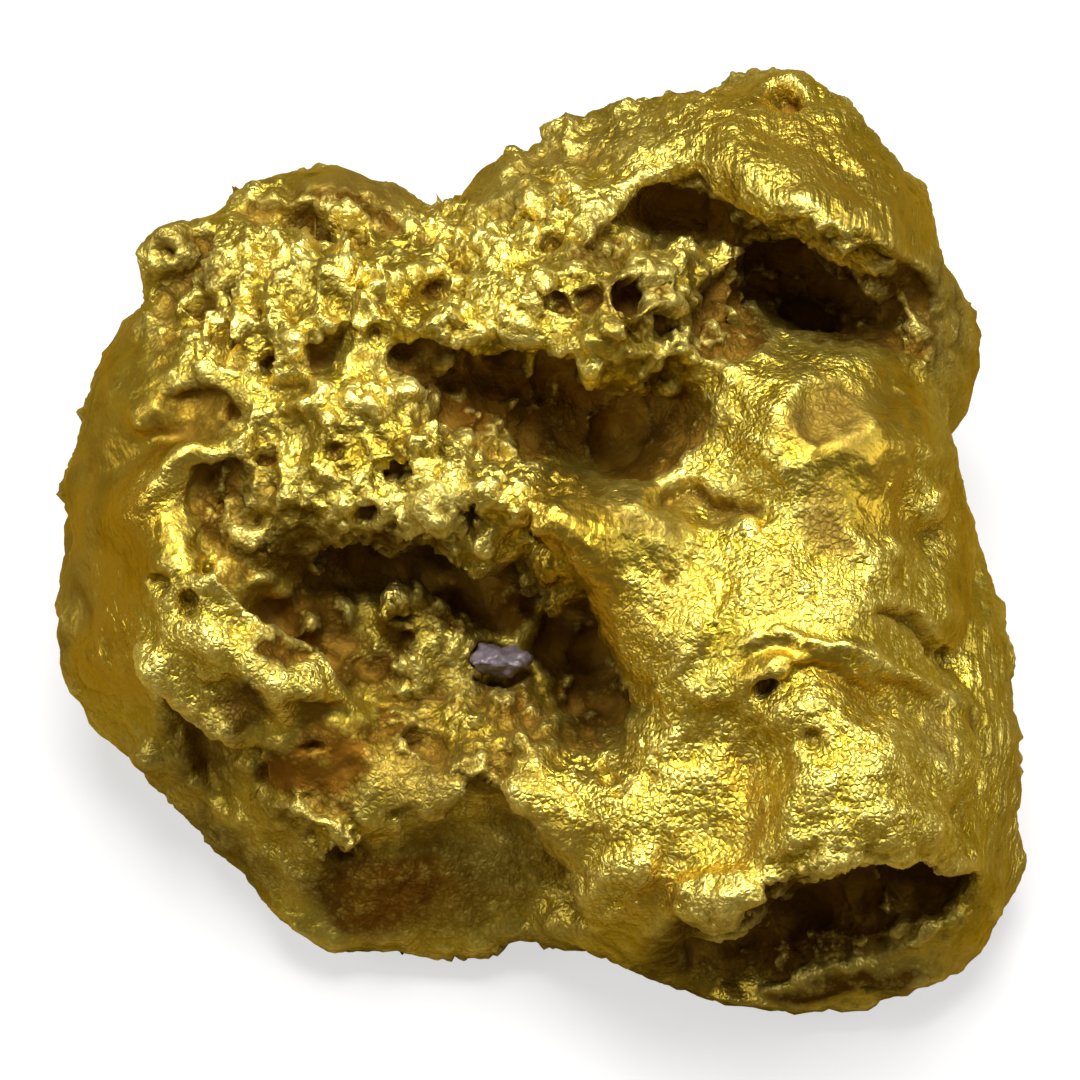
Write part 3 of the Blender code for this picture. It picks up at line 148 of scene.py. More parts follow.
# Steps, walked with the high side on the left: the line, the drop, and how far the high side
# and the low side take to level.
STEPS = [
    ([(-2.13, 2.51), (-1.6, 2.64), (-0.93, 2.57), (-0.53, 2.53), (-0.2, 2.6), (0.11, 2.53),
      (0.47, 2.37), (0.8, 2.03), (1.09, 1.91), (1.44, 2.21), (1.67, 2.45), (2, 2.53),
      (2.2, 2.69)], 0.45, 0.3, 0.5),
    ([(-3.2, 2.29), (-2.92, 2.56), (-2.69, 2.79), (-2.65, 3.04)], 0.35, 0.25, 0.3),
    ([(-5.12, 1.84), (-4.8, 1.97), (-4.47, 2.09), (-4.24, 1.97), (-4, 1.87)], 0.3, 0.3, 0.4),
    ([(-4.03, 4.48), (-3.71, 4.49), (-3.33, 4.45), (-2.8, 4.24), (-2.27, 4.16),
      (-1.73, 4.24)], 0.25, 0.3, 0.3),
    ([(-0.53, 4.44), (-0.13, 4.49), (0.16, 4.53)], 0.2, 0.2, 0.2),
    ([(0.47, 4.11), (0.8, 4.19), (1.09, 4.47), (1.33, 4.67), (1.6, 4.77), (2.13, 4.67), (2.33, 4.6),
      (2.77, 4.4), (3.27, 4.21), (3.65, 3.99), (3.95, 3.81), (4.4, 3.89), (4.79, 3.76),
      (5.13, 3.56), (5.36, 3.11)], 0.4, 0.3, 0.5),
    ([(5.24, 2.37), (4.81, 2.44), (4.4, 2.69), (3.95, 2.79), (3.63, 2.8), (3.4, 2.91), (3.2, 3.15),
      (2.77, 3.05)], 0.25, 0.5, 0.3),
    ([(2.33, 1.87), (2.13, 1.33), (1.87, 0.91), (1.36, 0.77), (0.77, 0.79), (0.2, 0.88),
      (-0.45, 1.07), (-0.93, 1.24)], 0.25, 0.6, 0.5),
    ([(-4.77, 0.93), (-4.57, 1), (-4.24, 1.08), (-3.92, 1.01)], 0.3, 0.2, 0.35),
    ([(-4.47, -0.25), (-4.57, 0.13), (-4.69, 0.45), (-4.76, 0.88)], 0.14, 0.3, 0.3),
    ([(-2.69, -1.88), (-2.95, -1.65), (-3.33, -1.48), (-3.76, -1.29), (-4.08, -0.87), (-4.4, -0.55),
      (-4.67, -0.39)], 0.35, 0.3, 0.45),
    ([(-5.37, -1.45), (-5.05, -1.71), (-4.73, -1.97), (-4.4, -2.2), (-4.08, -2.49), (-3.83, -2.72),
      (-3.75, -3.01)], 0.35, 0.3, 0.5),
    ([(-3.11, 0.07), (-2.79, 0), (-2.47, 0.07), (-2.15, 0.03), (-1.96, -0.11), (-1.55, 0),
      (-1.07, -0.12), (-0.87, -0.31), (-0.64, -0.41), (-0.39, -0.41), (-0.07, -0.75), (0.25, -0.88),
      (0.51, -0.93)], 0.3, 0.25, 0.4),
    ([(-0.2, 0.48), (0.09, 0.13), (0.36, -0.19), (0.55, -0.57), (0.68, -0.93), (0.8, -1.15),
      (0.84, -1.32), (0.97, -1.47), (0.93, -1.68), (1.23, -1.93), (1.35, -2.07)], 0.45, 0.7, 0.35),
    ([(2.45, -1.45), (2.77, -1.39), (3.17, -1.32), (3.68, -1.37), (4.23, -1.55), (4.72, -1.75),
      (5.2, -2.04), (5.79, -2.36)], 0.2, 0.3, 0.25),
    ([(2.81, -2.09), (2.97, -1.97), (3.23, -1.81), (3.43, -1.68), (3.68, -1.61), (4.07, -1.75),
      (4.4, -2), (4.88, -2.32)], 0.2, 0.25, 0.25),
    ([(1.36, 0.55), (1.75, 0.61), (2.07, 0.71), (2.39, 0.52), (2.93, 0.39)], 0.16, 0.3, 0.25),
    ([(-2.13, -3.72), (-2, -3.59), (-1.77, -3.59), (-1.65, -3.68), (-1.45, -3.79), (-1.23, -3.79),
      (-1.16, -3.65), (-0.97, -3.33), (-0.84, -3.13), (-0.75, -3.13), (-0.61, -3.23),
      (-0.32, -3.59), (-0.07, -3.84), (0.13, -4.07), (0.45, -4.43),
      (0.67, -4.87)], 0.35, 0.4, 0.45),
    ([(1.87, -5.13), (2.19, -5.17), (2.57, -5.04), (2.84, -4.81), (3, -4.59), (3.23, -4.59),
      (3.48, -4.47), (3.68, -4.52), (3.87, -4.36), (4.13, -4.24), (4.61, -4.23), (5.09, -4.27),
      (5.43, -4.45), (5.65, -4.47), (6, -4.4)], 0.45, 0.35, 0.55),
    ([(5.2, -5.2), (4.87, -5.4), (4.45, -5.56), (4.13, -5.56), (3.48, -5.72),
      (2.93, -6.01)], 0.25, 0.4, 0.35),
    ([(4.33, -1.07), (4.65, -0.93), (4.97, -0.97), (5.11, -1.09), (5.36, -1.39),
      (5.56, -1.75)], 0.12, 0.2, 0.2),
    ([(-3.63, -0.85), (-3.37, -0.75), (-3.11, -0.92)], 0.14, 0.12, 0.2),
    ([(-2.13, -1.23), (-1.97, -1), (-1.72, -0.75), (-1.43, -0.77), (-1.16, -1.03),
      (-1.08, -1.2)], 0.25, 0.2, 0.3),
    ([(-3.59, -3.51), (-3.2, -3.63), (-2.8, -3.81), (-2.51, -4.13)], 0.2, 0.2, 0.3),
]

# Slits: the line, how deep and half how wide.
SLITS = [
    ([(-3.15, 2.4), (-2.92, 2.59), (-2.69, 2.77), (-2.65, 2.93)], 0.14, 0.08),
    ([(-0.97, -1.84), (-0.45, -1.83), (-0.2, -1.72), (-0.04, -1.72)], 0.4, 0.07),
    ([(-3.8, -2.6), (-3.71, -3), (-3.79, -3.4)], 0.3, 0.06),
    ([(-4.47, 4.17), (-4.45, 3.87), (-4.53, 3.57)], 0.16, 0.09),
    ([(-1.6, 4.2), (-1.13, 4.24), (-0.73, 4.35), (-0.13, 4.45)], 0.2, 0.1),
    ([(-3.33, 5), (-3.31, 4.73), (-3.39, 4.47)], 0.12, 0.07),
    ([(1.36, 0.55), (1.75, 0.59), (2.07, 0.68), (2.39, 0.49), (3, 0.37)], 0.16, 0.06),
    ([(4.35, -1.01), (4.65, -0.96), (4.97, -1.04), (5.27, -1.4), (5.56, -1.75)], 0.16, 0.07),
    ([(2.63, -2.72), (2.77, -3.33), (2.8, -3.87), (2.51, -4.29)], 0.08, 0.12),
    ([(-5.2, 1.33), (-4.8, 1.49), (-4.4, 1.49), (-4.08, 1.72)], 0.12, 0.09),
    ([(-3.53, -2.13), (-3.12, -2.32), (-2.53, -2.29)], 0.16, 0.1),
    ([(-0.39, -3.68), (-0.2, -3.84), (0, -4.07), (0.19, -4.4), (0.32, -4.72), (0.52, -5.04),
      (0.77, -5.31)], 0.14, 0.1),
    ([(-5.07, -2), (-4.67, -2.47), (-4.47, -2.93), (-4.33, -3.33)], 0.16, 0.1),
    ([(4.27, 0.07), (4.87, 0.07), (5.53, -0.07)], 0.05, 0.1),
    ([(-2.8, -0.27), (-2.27, -0.37), (-1.6, -0.47), (-0.93, -0.67)], 0.12, 0.15),
    ([(1.6, -5.13), (2.13, -5.4), (2.67, -5.6)], 0.15, 0.15),
    ([(2.93, -5.2), (3.73, -4.87), (4.53, -4.67), (5.33, -4.64)], 0.3, 0.2),
    ([(2.8, 3.8), (3.47, 3.47), (4.13, 3.2), (4.87, 2.87)], 0.25, 0.2),
    ([(1.33, 4.33), (2, 4.37), (2.6, 4.19)], 0.2, 0.16),
    ([(0.8, 3.87), (1.33, 3.87), (1.67, 4)], 0.2, 0.08),
    ([(0.8, 3.2), (1.09, 2.93), (1.47, 2.53)], 0.16, 0.07),
    ([(-0.53, 3.2), (-0.13, 2.96), (0.27, 2.91)], 0.12, 0.06),
    ([(-2.13, 3.73), (-1.87, 3.2), (-1.93, 2.8)], 0.1, 0.07),
    ([(-3.93, 3.2), (-3.76, 2.8), (-3.87, 2.47)], 0.1, 0.07),
    ([(-3.4, 3.93), (-3.2, 3.53), (-3.33, 3.2)], 0.1, 0.07),
    ([(-1.87, -0.27), (-1.47, -0.67), (-1, -1.33)], 0.2, 0.1),
    ([(-2.33, -2.13), (-1.87, -2.13), (-1.2, -2)], 0.14, 0.07),
]

# Crests: the line, how high and half how wide.
CRESTS = [
    ([(-2.13, -1.23), (-1.97, -1), (-1.72, -0.75), (-1.43, -0.77), (-1.16, -1.03)], 0.26, 0.1),
    ([(-4.67, -0.39), (-4.08, -0.87), (-3.76, -1.29), (-3.33, -1.48), (-2.69, -1.88)], 0.2, 0.1),
    ([(-5.37, -1.33), (-4.73, -1.84), (-4.08, -2.36), (-3.71, -2.77)], 0.34, 0.17),
    ([(-4.57, -1.52), (-4.37, -1.71), (-4.17, -1.91)], 0.08, 0.05),
    ([(-5.53, 0.32), (-5.12, 0.68), (-4.85, 1.07), (-4.57, 1.23), (-4.21, 1.16)], 0.12, 0.1),
    ([(-0.2, 0.48), (0.09, 0.13), (0.36, -0.19), (0.55, -0.57)], 0.1, 0.06),
    ([(2.47, -1.6), (2.87, -1.39), (3.21, -1.32), (4.07, -1.49), (5.09, -1.97),
      (5.83, -2.39)], 0.1, 0.08),
    ([(1, 3.37), (1.09, 3.53), (1.29, 3.57), (1.49, 3.44)], 0.12, 0.06),
    ([(1.36, 2.96), (1.53, 3.12), (1.8, 3.12), (2, 2.96)], 0.16, 0.06),
    ([(2.29, 3.63), (2.51, 3.68), (2.67, 3.49), (2.64, 3.2)], 0.14, 0.06),
    ([(-2, -0.09), (-1.81, 0.2), (-1.49, 0.43), (-1.29, 0.59)], 0.2, 0.09),
    ([(-3.59, -3.47), (-3.2, -3.6), (-2.8, -3.76), (-2.53, -4.07)], 0.16, 0.07),
    ([(-1.6, 2.8), (-1.27, 2.96), (-0.93, 2.91)], 0.14, 0.08),
    ([(-0.75, 1.81), (-0.47, 1.47), (-0.36, 1.11)], 0.16, 0.08),
    ([(0.6, 1.87), (0.67, 1.47), (0.64, 1.07)], 0.16, 0.08),
    ([(1.2, 2.27), (1.6, 2.07), (2.13, 2.13)], 0.16, 0.1),
    ([(0, 2.6), (-0.11, 2.13), (0, 1.73)], 0.14, 0.08),
    ([(-1.93, 2.4), (-1.33, 2.29), (-0.93, 2.33)], 0.12, 0.08),
    ([(-3.87, -2.73), (-3.71, -2.8), (-3.53, -2.93)], 0.1, 0.06),
    ([(3.87, 3.6), (4.27, 3.33), (4.8, 3.2)], 0.1, 0.07),
    ([(3.47, 3.71), (4.07, 3.2), (4.53, 2.96)], 0.1, 0.06),
    ([(0.27, -1.33), (0.43, -1.87), (0.27, -2.27)], 0.14, 0.07),
    ([(1.07, -2.13), (1.53, -2), (2.13, -1.33)], 0.08, 0.1),
    ([(-2.8, -0.67), (-2.53, -0.93), (-2.6, -1.33)], 0.12, 0.08),
    ([(4.4, -4.53), (4.67, -4.8), (4.53, -5.13)], 0.14, 0.08),
    ([(3.13, -5.13), (3.27, -5.47), (3.07, -5.8)], 0.12, 0.1),
]

# Where each finish lies: ovals by middle, half length, half width, turn in degrees and strength.
FINISHES = {
    "stained": [
        (-5.93, 1.47, 0.347, 0.8, 15, 0.4), (-6.27, -0.8, 0.293, 0.933, 0, 0.35),
        (-2.2, -4.71, 1.04, 0.613, 0, 0.85), (-3.97, -2.24, 0.453, 0.147, -42, 0.8),
        (3.8, 1.71, 0.64, 0.507, 0, 0.6), (2.4, 2.83, 0.64, 0.56, 0, 1),
        (3.84, 0.4, 0.347, 0.533, 0, 0.55), (1.33, 0.33, 0.933, 0.213, 5, 0.5),
        (-2.03, -2.47, 0.693, 0.293, 0, 0.9), (-3.2, -1.27, 0.8, 0.453, -25, 1),
        (-2.87, -3.49, 0.933, 0.24, 10, 0.6), (-0.93, -3, 1, 0.32, -5, 0.6),
        (-2.53, 4.37, 0.853, 0.147, -5, 1), (0.27, 4.96, 1.067, 0.267, 20, 0.5),
        (-5, 2.73, 0.267, 0.587, 0, 0.6), (-4.47, 1.53, 0.48, 0.267, 0, 0.7),
        (-4.47, 3.53, 0.24, 0.48, 0, 0.5), (5.33, -2.53, 0.267, 0.56, 0, 0.5),
        (-4.07, -0.07, 0.293, 0.347, 0, 0.7), (3.31, 5.91, 0.187, 0.12, 0, 1),
        (5.13, 3, 0.427, 0.733, 0, 0.8), (4.4, 3.8, 0.933, 0.213, -22, 0.6),
        (-2.53, 4.69, 0.88, 0.24, 0, 0.55), (-4.67, 3.71, 0.533, 0.427, 0, 0.7),
        (1.33, 3.33, 0.613, 0.48, 0, 0.8), (4.13, -5.97, 1.2, 0.187, 8, 1),
        (-0.37, -2.2, 0.453, 0.32, 0, 0.75), (-1.47, -3.33, 0.667, 0.347, 0, 0.35),
        (-3.4, 4.45, 0.827, 0.16, 5, 0.7), (0.8, 4.04, 0.453, 0.173, 0, 0.8),
        (2.49, 2.96, 0.453, 0.613, 0, 1), (1.6, 3.57, 0.267, 0.32, 0, 0.6),
        (-2.37, 2.51, 0.24, 0.187, 0, 0.7), (-4.8, 1.89, 0.507, 0.347, 20, 0.7),
        (-2.53, -1.53, 0.907, 0.347, -28, 1), (-1.8, -2.69, 0.827, 0.4, -15, 0.7),
        (-2.6, -3.51, 0.347, 0.16, 0, 0.8), (-4.11, -0.4, 0.213, 0.24, 0, 0.8),
        (-4.96, 0.11, 0.187, 0.453, 0, 0.4), (-3.2, -0.33, 1.067, 0.373, -12, 0.7),
        (-4, -4.13, 0.8, 0.32, -45, 0.5), (5.13, 2.87, 0.213, 0.453, 0, 0.6),
        (-1.33, 0.27, 0.533, 0.347, 0, 0.4), (-0.93, 1.33, 0.4, 0.16, 0, 0.6),
        (-0.13, -2.4, 0.533, 0.533, 0, 0.6), (-1.33, -2, 0.8, 0.32, 0, 0.5),
        (4.13, -5.93, 1.2, 0.213, 10, 0.6), (0.67, -1.33, 0.293, 0.8, 30, 0.6),
        (-3.2, -1.24, 0.587, 0.48, -20, 1), (-0.53, -2.13, 0.667, 0.48, 0, 0.7),
        (-2.93, -3, 0.933, 0.533, 0, 1), (-1.87, -4.73, 1.467, 0.667, -4, 0.65),
        (1.33, 2.8, 0.933, 0.533, 0, 0.45), (-0.93, 2.67, 0.8, 0.187, 0, 0.5),
        (4, 3.2, 1.333, 0.613, -18, 1), (2, 4.35, 0.773, 0.427, 0, 1),
        (-3.73, -0.27, 0.667, 0.533, 0, 0.4), (-4, 0.53, 0.267, 0.667, 0, 0.6),
        (1.33, 1.47, 1, 0.693, 0, 1), (-3.2, 4.29, 0.453, 0.12, -8, 0.7),
        (-4.8, 3.73, 0.333, 0.333, 0, 0.4), (-5.6, 2.8, 0.333, 0.4, 0, 0.4),
        (0.8, -2.27, 0.467, 0.6, -40, 0.8), (0.07, -0.8, 0.267, 0.4, -30, 0.5),
        (0.27, 1.73, 1.667, 0.6, -8, 1), (1.47, 1.53, 0.8, 0.667, 0, 1),
        (-0.67, 1.93, 0.933, 0.56, 10, 1), (-1.47, 2.2, 0.467, 0.373, 0, 0.8),
        (2, 4.35, 0.693, 0.373, 0, 1), (3.93, 3.4, 1.227, 0.48, -15, 1),
        (3, 3.71, 0.453, 0.347, 0, 1), (2.16, 2.73, 0.267, 0.4, 0, 0.8),
        (-2.13, -0.27, 1.067, 0.4, -12, 1), (0.6, -1.8, 0.533, 0.933, 35, 1),
        (-0.67, -0.87, 0.827, 0.6, -20, 1), (-2.93, -0.93, 0.6, 0.453, -20, 0.9),
        (0.27, -2.4, 0.467, 0.467, 0, 0.7), (-4.47, -2.67, 0.48, 0.8, 40, 0.55),
        (-2.93, -2.93, 0.773, 0.453, 0, 0.85), (-1.33, -4.53, 1.667, 0.6, -8, 0.45),
        (-0.07, -4.13, 0.333, 0.8, 40, 0.4), (3.73, -5.13, 1.867, 0.587, 12, 1),
        (2.13, -5.6, 0.667, 0.467, 10, 0.8), (-4.33, 0.47, 0.32, 0.6, 15, 0.9),
        (-3.96, -2.11, 0.453, 0.267, -35, 0.9), (2.4, 0.43, 0.667, 0.107, -8, 0.6),
        (-2.91, 2.6, 0.4, 0.16, 40, 0.8), (-4.53, 1.93, 0.6, 0.16, 0, 0.5),
        (-1.8, -1.4, 0.4, 0.267, 0, 0.6), (-2.8, 4.24, 0.4, 0.093, -5, 0.5),
    ],
    "rusty": [
        (-0.37, -2.2, 0.453, 0.347, 0, 1), (-0.93, 1.93, 0.8, 0.4, 0, 0.6),
        (-1.87, -4.73, 0.933, 0.6, 0, 0.8), (-2.93, -3, 0.733, 0.4, 0, 0.8),
        (-0.4, -0.93, 0.6, 0.467, 0, 0.6), (-4.33, -2.67, 0.333, 0.6, 40, 0.6),
        (-3.44, -1, 0.267, 0.187, 0, 0.6), (-1.8, -1.53, 0.347, 0.213, 0, 0.7),
        (3.07, -5.2, 0.533, 0.333, 0, 0.6),
    ],
    "worn": [
        (3.84, 1.6, 0.733, 0.6, 0, 0.7), (3.87, 0.2, 0.24, 0.533, 0, 0.6),
        (3.13, -0.93, 0.267, 0.8, 0, 0.6), (2.73, -3.8, 0.24, 0.667, 0, 0.7),
        (1.87, -0.93, 0.32, 0.587, 0, 0.4), (3.47, 5.07, 2, 0.667, -28, 0.6),
        (-2.53, 4.73, 0.933, 0.293, 0, 0.8), (2.93, 5.47, 1.2, 0.533, -30, 0.3),
        (-5.6, 2.13, 0.533, 0.8, 20, 0.7), (4.53, 1.33, 0.533, 1.067, 0, 0.6),
        (-1.47, -3.2, 0.667, 0.347, 0, 0.4), (-5.8, 0, 0.667, 2, 0, 0.9),
        (-5.33, 1.33, 0.667, 0.667, -20, 0.8), (-5.8, -1.33, 0.6, 0.8, 0, 0.7),
        (-4.67, 1.33, 0.6, 0.4, 30, 0.5), (0.69, -0.47, 0.56, 1.2, 28, 1),
        (0.27, 0.47, 0.467, 0.4, 0, 0.8), (1.33, -1.07, 0.32, 0.733, 20, 0.6),
        (4.6, 0.73, 0.453, 0.733, 0, 0.9), (4, -1.76, 1.133, 0.213, -18, 0.9),
        (2.93, -1.67, 0.4, 0.333, 20, 0.6), (4.87, 4.47, 0.6, 1, -35, 0.5),
        (5.6, -0.27, 0.32, 1.2, 5, 0.5), (-1.33, -3.47, 0.293, 0.293, 0, 0.5),
        (-1.87, -4.73, 0.867, 0.667, 0, 0.3), (0, -3.87, 0.187, 0.6, 42, 0.4),
        (-2.93, -3, 0.733, 0.4, 0, 0.6), (2.6, -3.47, 0.24, 0.8, 0, 0.5),
        (1.6, -4.71, 0.373, 0.267, 0, 0.8), (-0.53, -3.13, 0.187, 0.4, 40, 0.4),
        (-4.07, 2.6, 0.267, 0.267, 0, 0.5),
    ],
    "crumbly": [
        (0.33, 5.33, 1.2, 0.453, 22, 0.6), (1.47, 5.67, 0.8, 0.32, 15, 0.45),
        (2.53, 4.33, 0.8, 0.24, -15, 0.9), (3.87, 3.76, 1.067, 0.267, -22, 0.9),
        (1.13, 4.47, 0.427, 0.24, 25, 0.9), (2.13, 4.53, 0.667, 0.213, -5, 0.8),
        (3.2, 4.03, 0.667, 0.24, -25, 0.8), (4.27, 3.71, 0.8, 0.24, -15, 0.8),
        (-0.47, 4.33, 0.533, 0.187, 15, 0.8), (3.47, -4.53, 2, 0.293, 8, 0.7),
        (0, 0.53, 0.533, 0.4, -35, 0.8), (0.67, -1.33, 0.4, 0.8, 30, 0.5),
        (-1.47, 3.6, 2.533, 1, -3, 1), (-3.87, 3.2, 1.467, 1.133, 0, 1),
        (0.8, 3.33, 1.667, 0.867, -15, 1), (2.13, 3.2, 0.8, 0.933, 0, 1),
        (0, 4.33, 1.067, 0.467, 20, 0.9), (-1.47, 1.33, 1.733, 1, -5, 1),
        (-3.2, 0.8, 1.2, 1.067, 0, 1), (-3.33, -0.07, 0.667, 0.4, 0, 0.8),
        (-1.6, -1.33, 0.693, 0.667, 0, 1), (-0.8, -2.47, 1, 0.667, 0, 1),
        (0.2, -0.53, 0.533, 0.533, -30, 0.9), (-2.93, -3.87, 0.8, 0.48, -20, 0.9),
        (0.8, 2.13, 1.333, 0.667, 0, 0.35), (-1.87, 0.27, 1.2, 0.533, 0, 1),
        (1.07, -2.67, 0.467, 0.8, 0, 0.5), (-1.87, -4.53, 1.6, 0.667, 0, 0.12),
        (4.27, 3.2, 1.2, 0.533, -20, 0.6), (-1.07, 2.4, 1.067, 0.4, 0, 0.6),
        (0.8, -2.93, 0.533, 0.467, -30, 0.5), (3.87, -5.2, 1.6, 0.533, 12, 0.6),
        (-4.53, -3.87, 0.8, 0.4, -40, 0.4), (1.6, 5.47, 1.333, 0.467, 25, 0.3),
        (5.2, 2.67, 0.533, 0.8, 0, 0.4), (-4.93, 3.67, 0.533, 0.467, 0, 0.5),
        (-3.71, 4.69, 0.347, 0.187, 0, 0.5),
    ],
    "frosted": [
        (-1.33, -4.4, 1.733, 0.8, -5, 0.5), (-3.2, -4.13, 0.8, 0.8, -40, 0.35),
        (-0.93, -5.27, 1.467, 0.267, 0, 0.4), (-5.2, 0.6, 0.453, 0.267, 30, 1),
        (-4.4, -2, 0.747, 0.187, -45, 1), (-0.67, -0.16, 0.347, 0.24, 0, 1),
        (0.07, -0.64, 0.48, 0.293, -40, 0.8), (1.07, -4.24, 0.56, 0.693, 0, 1),
        (4.53, -3.93, 0.613, 0.347, 0, 1), (5.13, -1.6, 0.533, 0.293, -25, 1),
        (1.73, -2.4, 0.613, 0.587, 0, 1), (5.2, 0.4, 0.347, 0.533, 0, 1),
        (-4.8, -1.33, 0.533, 0.4, 0, 1), (-5, -1.47, 0.733, 0.467, -30, 1),
        (-4.33, -2.33, 0.933, 0.16, -42, 1), (-3.2, -1.87, 0.8, 0.187, -15, 1),
        (2.4, -3.47, 1.733, 1.733, 0, 1), (4.4, -3.2, 1.467, 1.467, 0, 0.9),
        (-0.93, -3.47, 1.467, 0.667, 0, 0.7), (2.47, 1.27, 0.8, 0.933, 0, 0.9),
        (3.47, -0.27, 1.467, 0.933, 0, 0.9), (1.73, -1.33, 0.667, 1.067, 0, 0.8),
        (0.67, -3.33, 0.933, 0.8, 0, 1), (-4.07, -1.47, 1.2, 0.453, -40, 0.9),
        (-4.67, -2, 1.2, 0.533, -40, 0.6), (5.27, 0.4, 0.347, 0.533, 0, 0.9),
        (3.2, 2.13, 1.2, 0.8, 0, 0.5), (2.4, 5.07, 2.667, 0.933, 20, 0.4),
        (4.8, -0.27, 0.933, 0.8, 0, 0.5), (2.35, -4.75, 0.48, 0.373, 20, 1),
    ],
    "streaked": [
        (3.47, 5.07, 2.267, 1, -28, 1), (5.93, -2.93, 0.6, 2.267, 5, 1),
        (4.87, 4.13, 0.8, 1.067, -50, 1), (-1.33, -4.53, 1.733, 0.733, 0, 0.6),
        (-4.4, -2.67, 0.8, 0.8, 0, 0.7), (1.07, -3.47, 1.2, 0.933, -35, 0.5),
        (4.53, -0.8, 1.467, 0.8, -30, 0.5), (0.67, -0.53, 0.8, 1.467, 25, 0.5),
        (-5.8, -0.27, 0.667, 2, 0, 0.4),
    ],
    "greyed": [
        (-6.24, -0.27, 0.347, 1.733, 0, 0.6), (4, 4.53, 1.467, 0.453, -28, 0.5),
        (3.84, 1.71, 0.64, 0.48, 0, 0.8), (3.87, 0.2, 0.267, 0.507, 0, 0.6),
        (1.6, 0.45, 0.933, 0.2, 0, 0.7), (1.8, -0.96, 0.373, 0.533, 0, 0.5),
        (3.13, -1, 0.293, 0.773, 0, 0.5), (5.33, -2.6, 0.293, 0.533, 0, 0.4),
        (2.73, -3.8, 0.24, 0.667, 0, 0.4), (1.6, 5.2, 0.587, 0.293, 10, 0.6),
        (4.27, 4.2, 0.533, 0.24, -25, 0.5), (-4.27, -3.73, 0.8, 0.32, -45, 0.5),
        (-1.47, -3.2, 0.667, 0.347, 0, 0.6), (2.93, 5.33, 2.4, 0.667, -25, 0.3),
        (-2.4, 4.67, 0.8, 0.293, 0, 0.9), (-4.8, 3.67, 0.6, 0.533, 0, 0.4),
        (2.67, 0.53, 0.667, 0.213, 0, 0.5), (0.27, 5.2, 0.8, 0.213, 20, 0.6),
        (5.49, 2.53, 0.373, 1.467, 0, 1), (-2.6, 4.67, 1.333, 0.4, 0, 0.5),
        (0.8, 5.4, 1.2, 0.293, 20, 0.6), (-4.67, -3.47, 1.2, 0.347, -42, 0.8),
        (4.4, -5.8, 2, 0.333, 12, 0.7), (0.07, -5.28, 0.733, 0.16, 0, 0.9),
        (6.24, -3.47, 0.24, 2, 5, 0.7), (-3.2, -4.8, 1.2, 0.4, -35, 0.4),
        (-0.6, 4.67, 0.347, 0.267, 30, 0.8), (-0.93, -4.13, 1.2, 0.533, 0, 0.5),
        (3.75, 0.32, 0.4, 0.347, 0, 0.7),
    ],
    "ribbed": [
        (-2.8, 3.4, 1.333, 0.8, 0, 1), (-4, 3.07, 0.667, 0.667, 0, 0.8),
        (-1.2, 3.73, 0.667, 0.4, 0, 0.6), (-3.87, 0.53, 0.533, 0.667, 0, 0.5),
        (2.13, 2.8, 0.533, 0.8, 0, 0.3), (-1.6, 0.53, 0.8, 0.4, 0, 0.3),
    ],
}

# On the hidden sides each finish lies where a slow noise passes from the first number to the second;
# the flag picks one noise or the other, so that some finishes shun each other.
HIDDEN_FINISH = {
    "stained": ((0.25, 0.7), True),
    "rusty": ((0.4, 0.9), False),
    "worn": ((0.1, 0.5), False),
    "crumbly": ((0.0, 0.45), True),
    "frosted": ((0.3, -0.3), False),
    "streaked": ((0.2, 0.6), False),
    "greyed": ((0.0, 0.6), True),
    "ribbed": ((0.1, 0.6), False),
}
FIRST_HIDDEN_SIZE = 2.3
SECOND_HIDDEN_SIZE = 1.9
SECOND_HIDDEN_SHIFT = 31

# Lengths below are in millimetres unless they say otherwise. A wobble is its size and its reach,
# and then its octaves. A shift starts a pattern elsewhere in its noise, so that no two run alike.
# An evening is how many times the normals are evened out first.
CARVE_WOBBLE = (0.3, 0.06)
CARVE_EVENING = 6
FINISH_WOBBLE = (0.9, 0.3, 3)
FINISH_EVENING = 10

# A pit's wall and its raised rim, counted in the pit's radii from its middle; the rim's height is
# a share of the pit's depth.
PIT_WALL = (0.45, 1.25)
RIM_PLACE = 1.4
RIM_WIDTH = 0.25
RIM_SHARE = 0.03

# How much of a step's drop is raised on its high side, and how wide its edge is.
HIGH_SHARE = 0.3
STEP_EDGE = 0.05

# How far a line's relief runs on past its ends, and how far it takes to fade in.
END_SLACK = 0.05
END_FADE = 0.35

# Where a patch of finish starts and stops fading, counted in its radii.
PATCH_BORDER = (0.6, 1.3)

# The crumbs' tops lean these ways; a seam's width is a share of a crumb's.
LEANS = [Vector(lean) for lean in (
    (0.8, 0.3, 0.5), (-0.7, 0.6, 0.2), (0.1, -0.9, 0.4), (-0.3, -0.4, -0.8), (0.5, 0.7, -0.5),
)]
SEAM_WIDTH = 0.28
CRUMB_WOBBLE = (0.4, 0.12)
CRUMB_LEVEL = 0.4
FINE_SHARE = 0.5
FINE_SHIFT = 17

# Furrowed ribs, odd holes as shares of the crumbs' size and height, ripples, and the clumps that
# crumbs gather into.
RIB_WOBBLE = (0.6, 0.15)
RIB_SIZE = 0.7
RIB_LEVEL = 0.3
RIB_SHIFT = 5
HOLE_WOBBLE = (0.4, 0.1)
HOLE_SPACING = 1.3
HOLE_SHARE = 0.22
HOLE_DEPTH = 1.6
HOLE_SHIFT = 40
UNEVEN_SIZE = 0.3
UNEVEN_HEIGHT = 0.045
RIPPLE_SIZE = 0.8
RIPPLE_HEIGHT = 0.07
CLUMP_WOBBLE = (0.7, 0.2)
CLUMP_SIZE = 1.0
CLUMP_SHIFT = 60

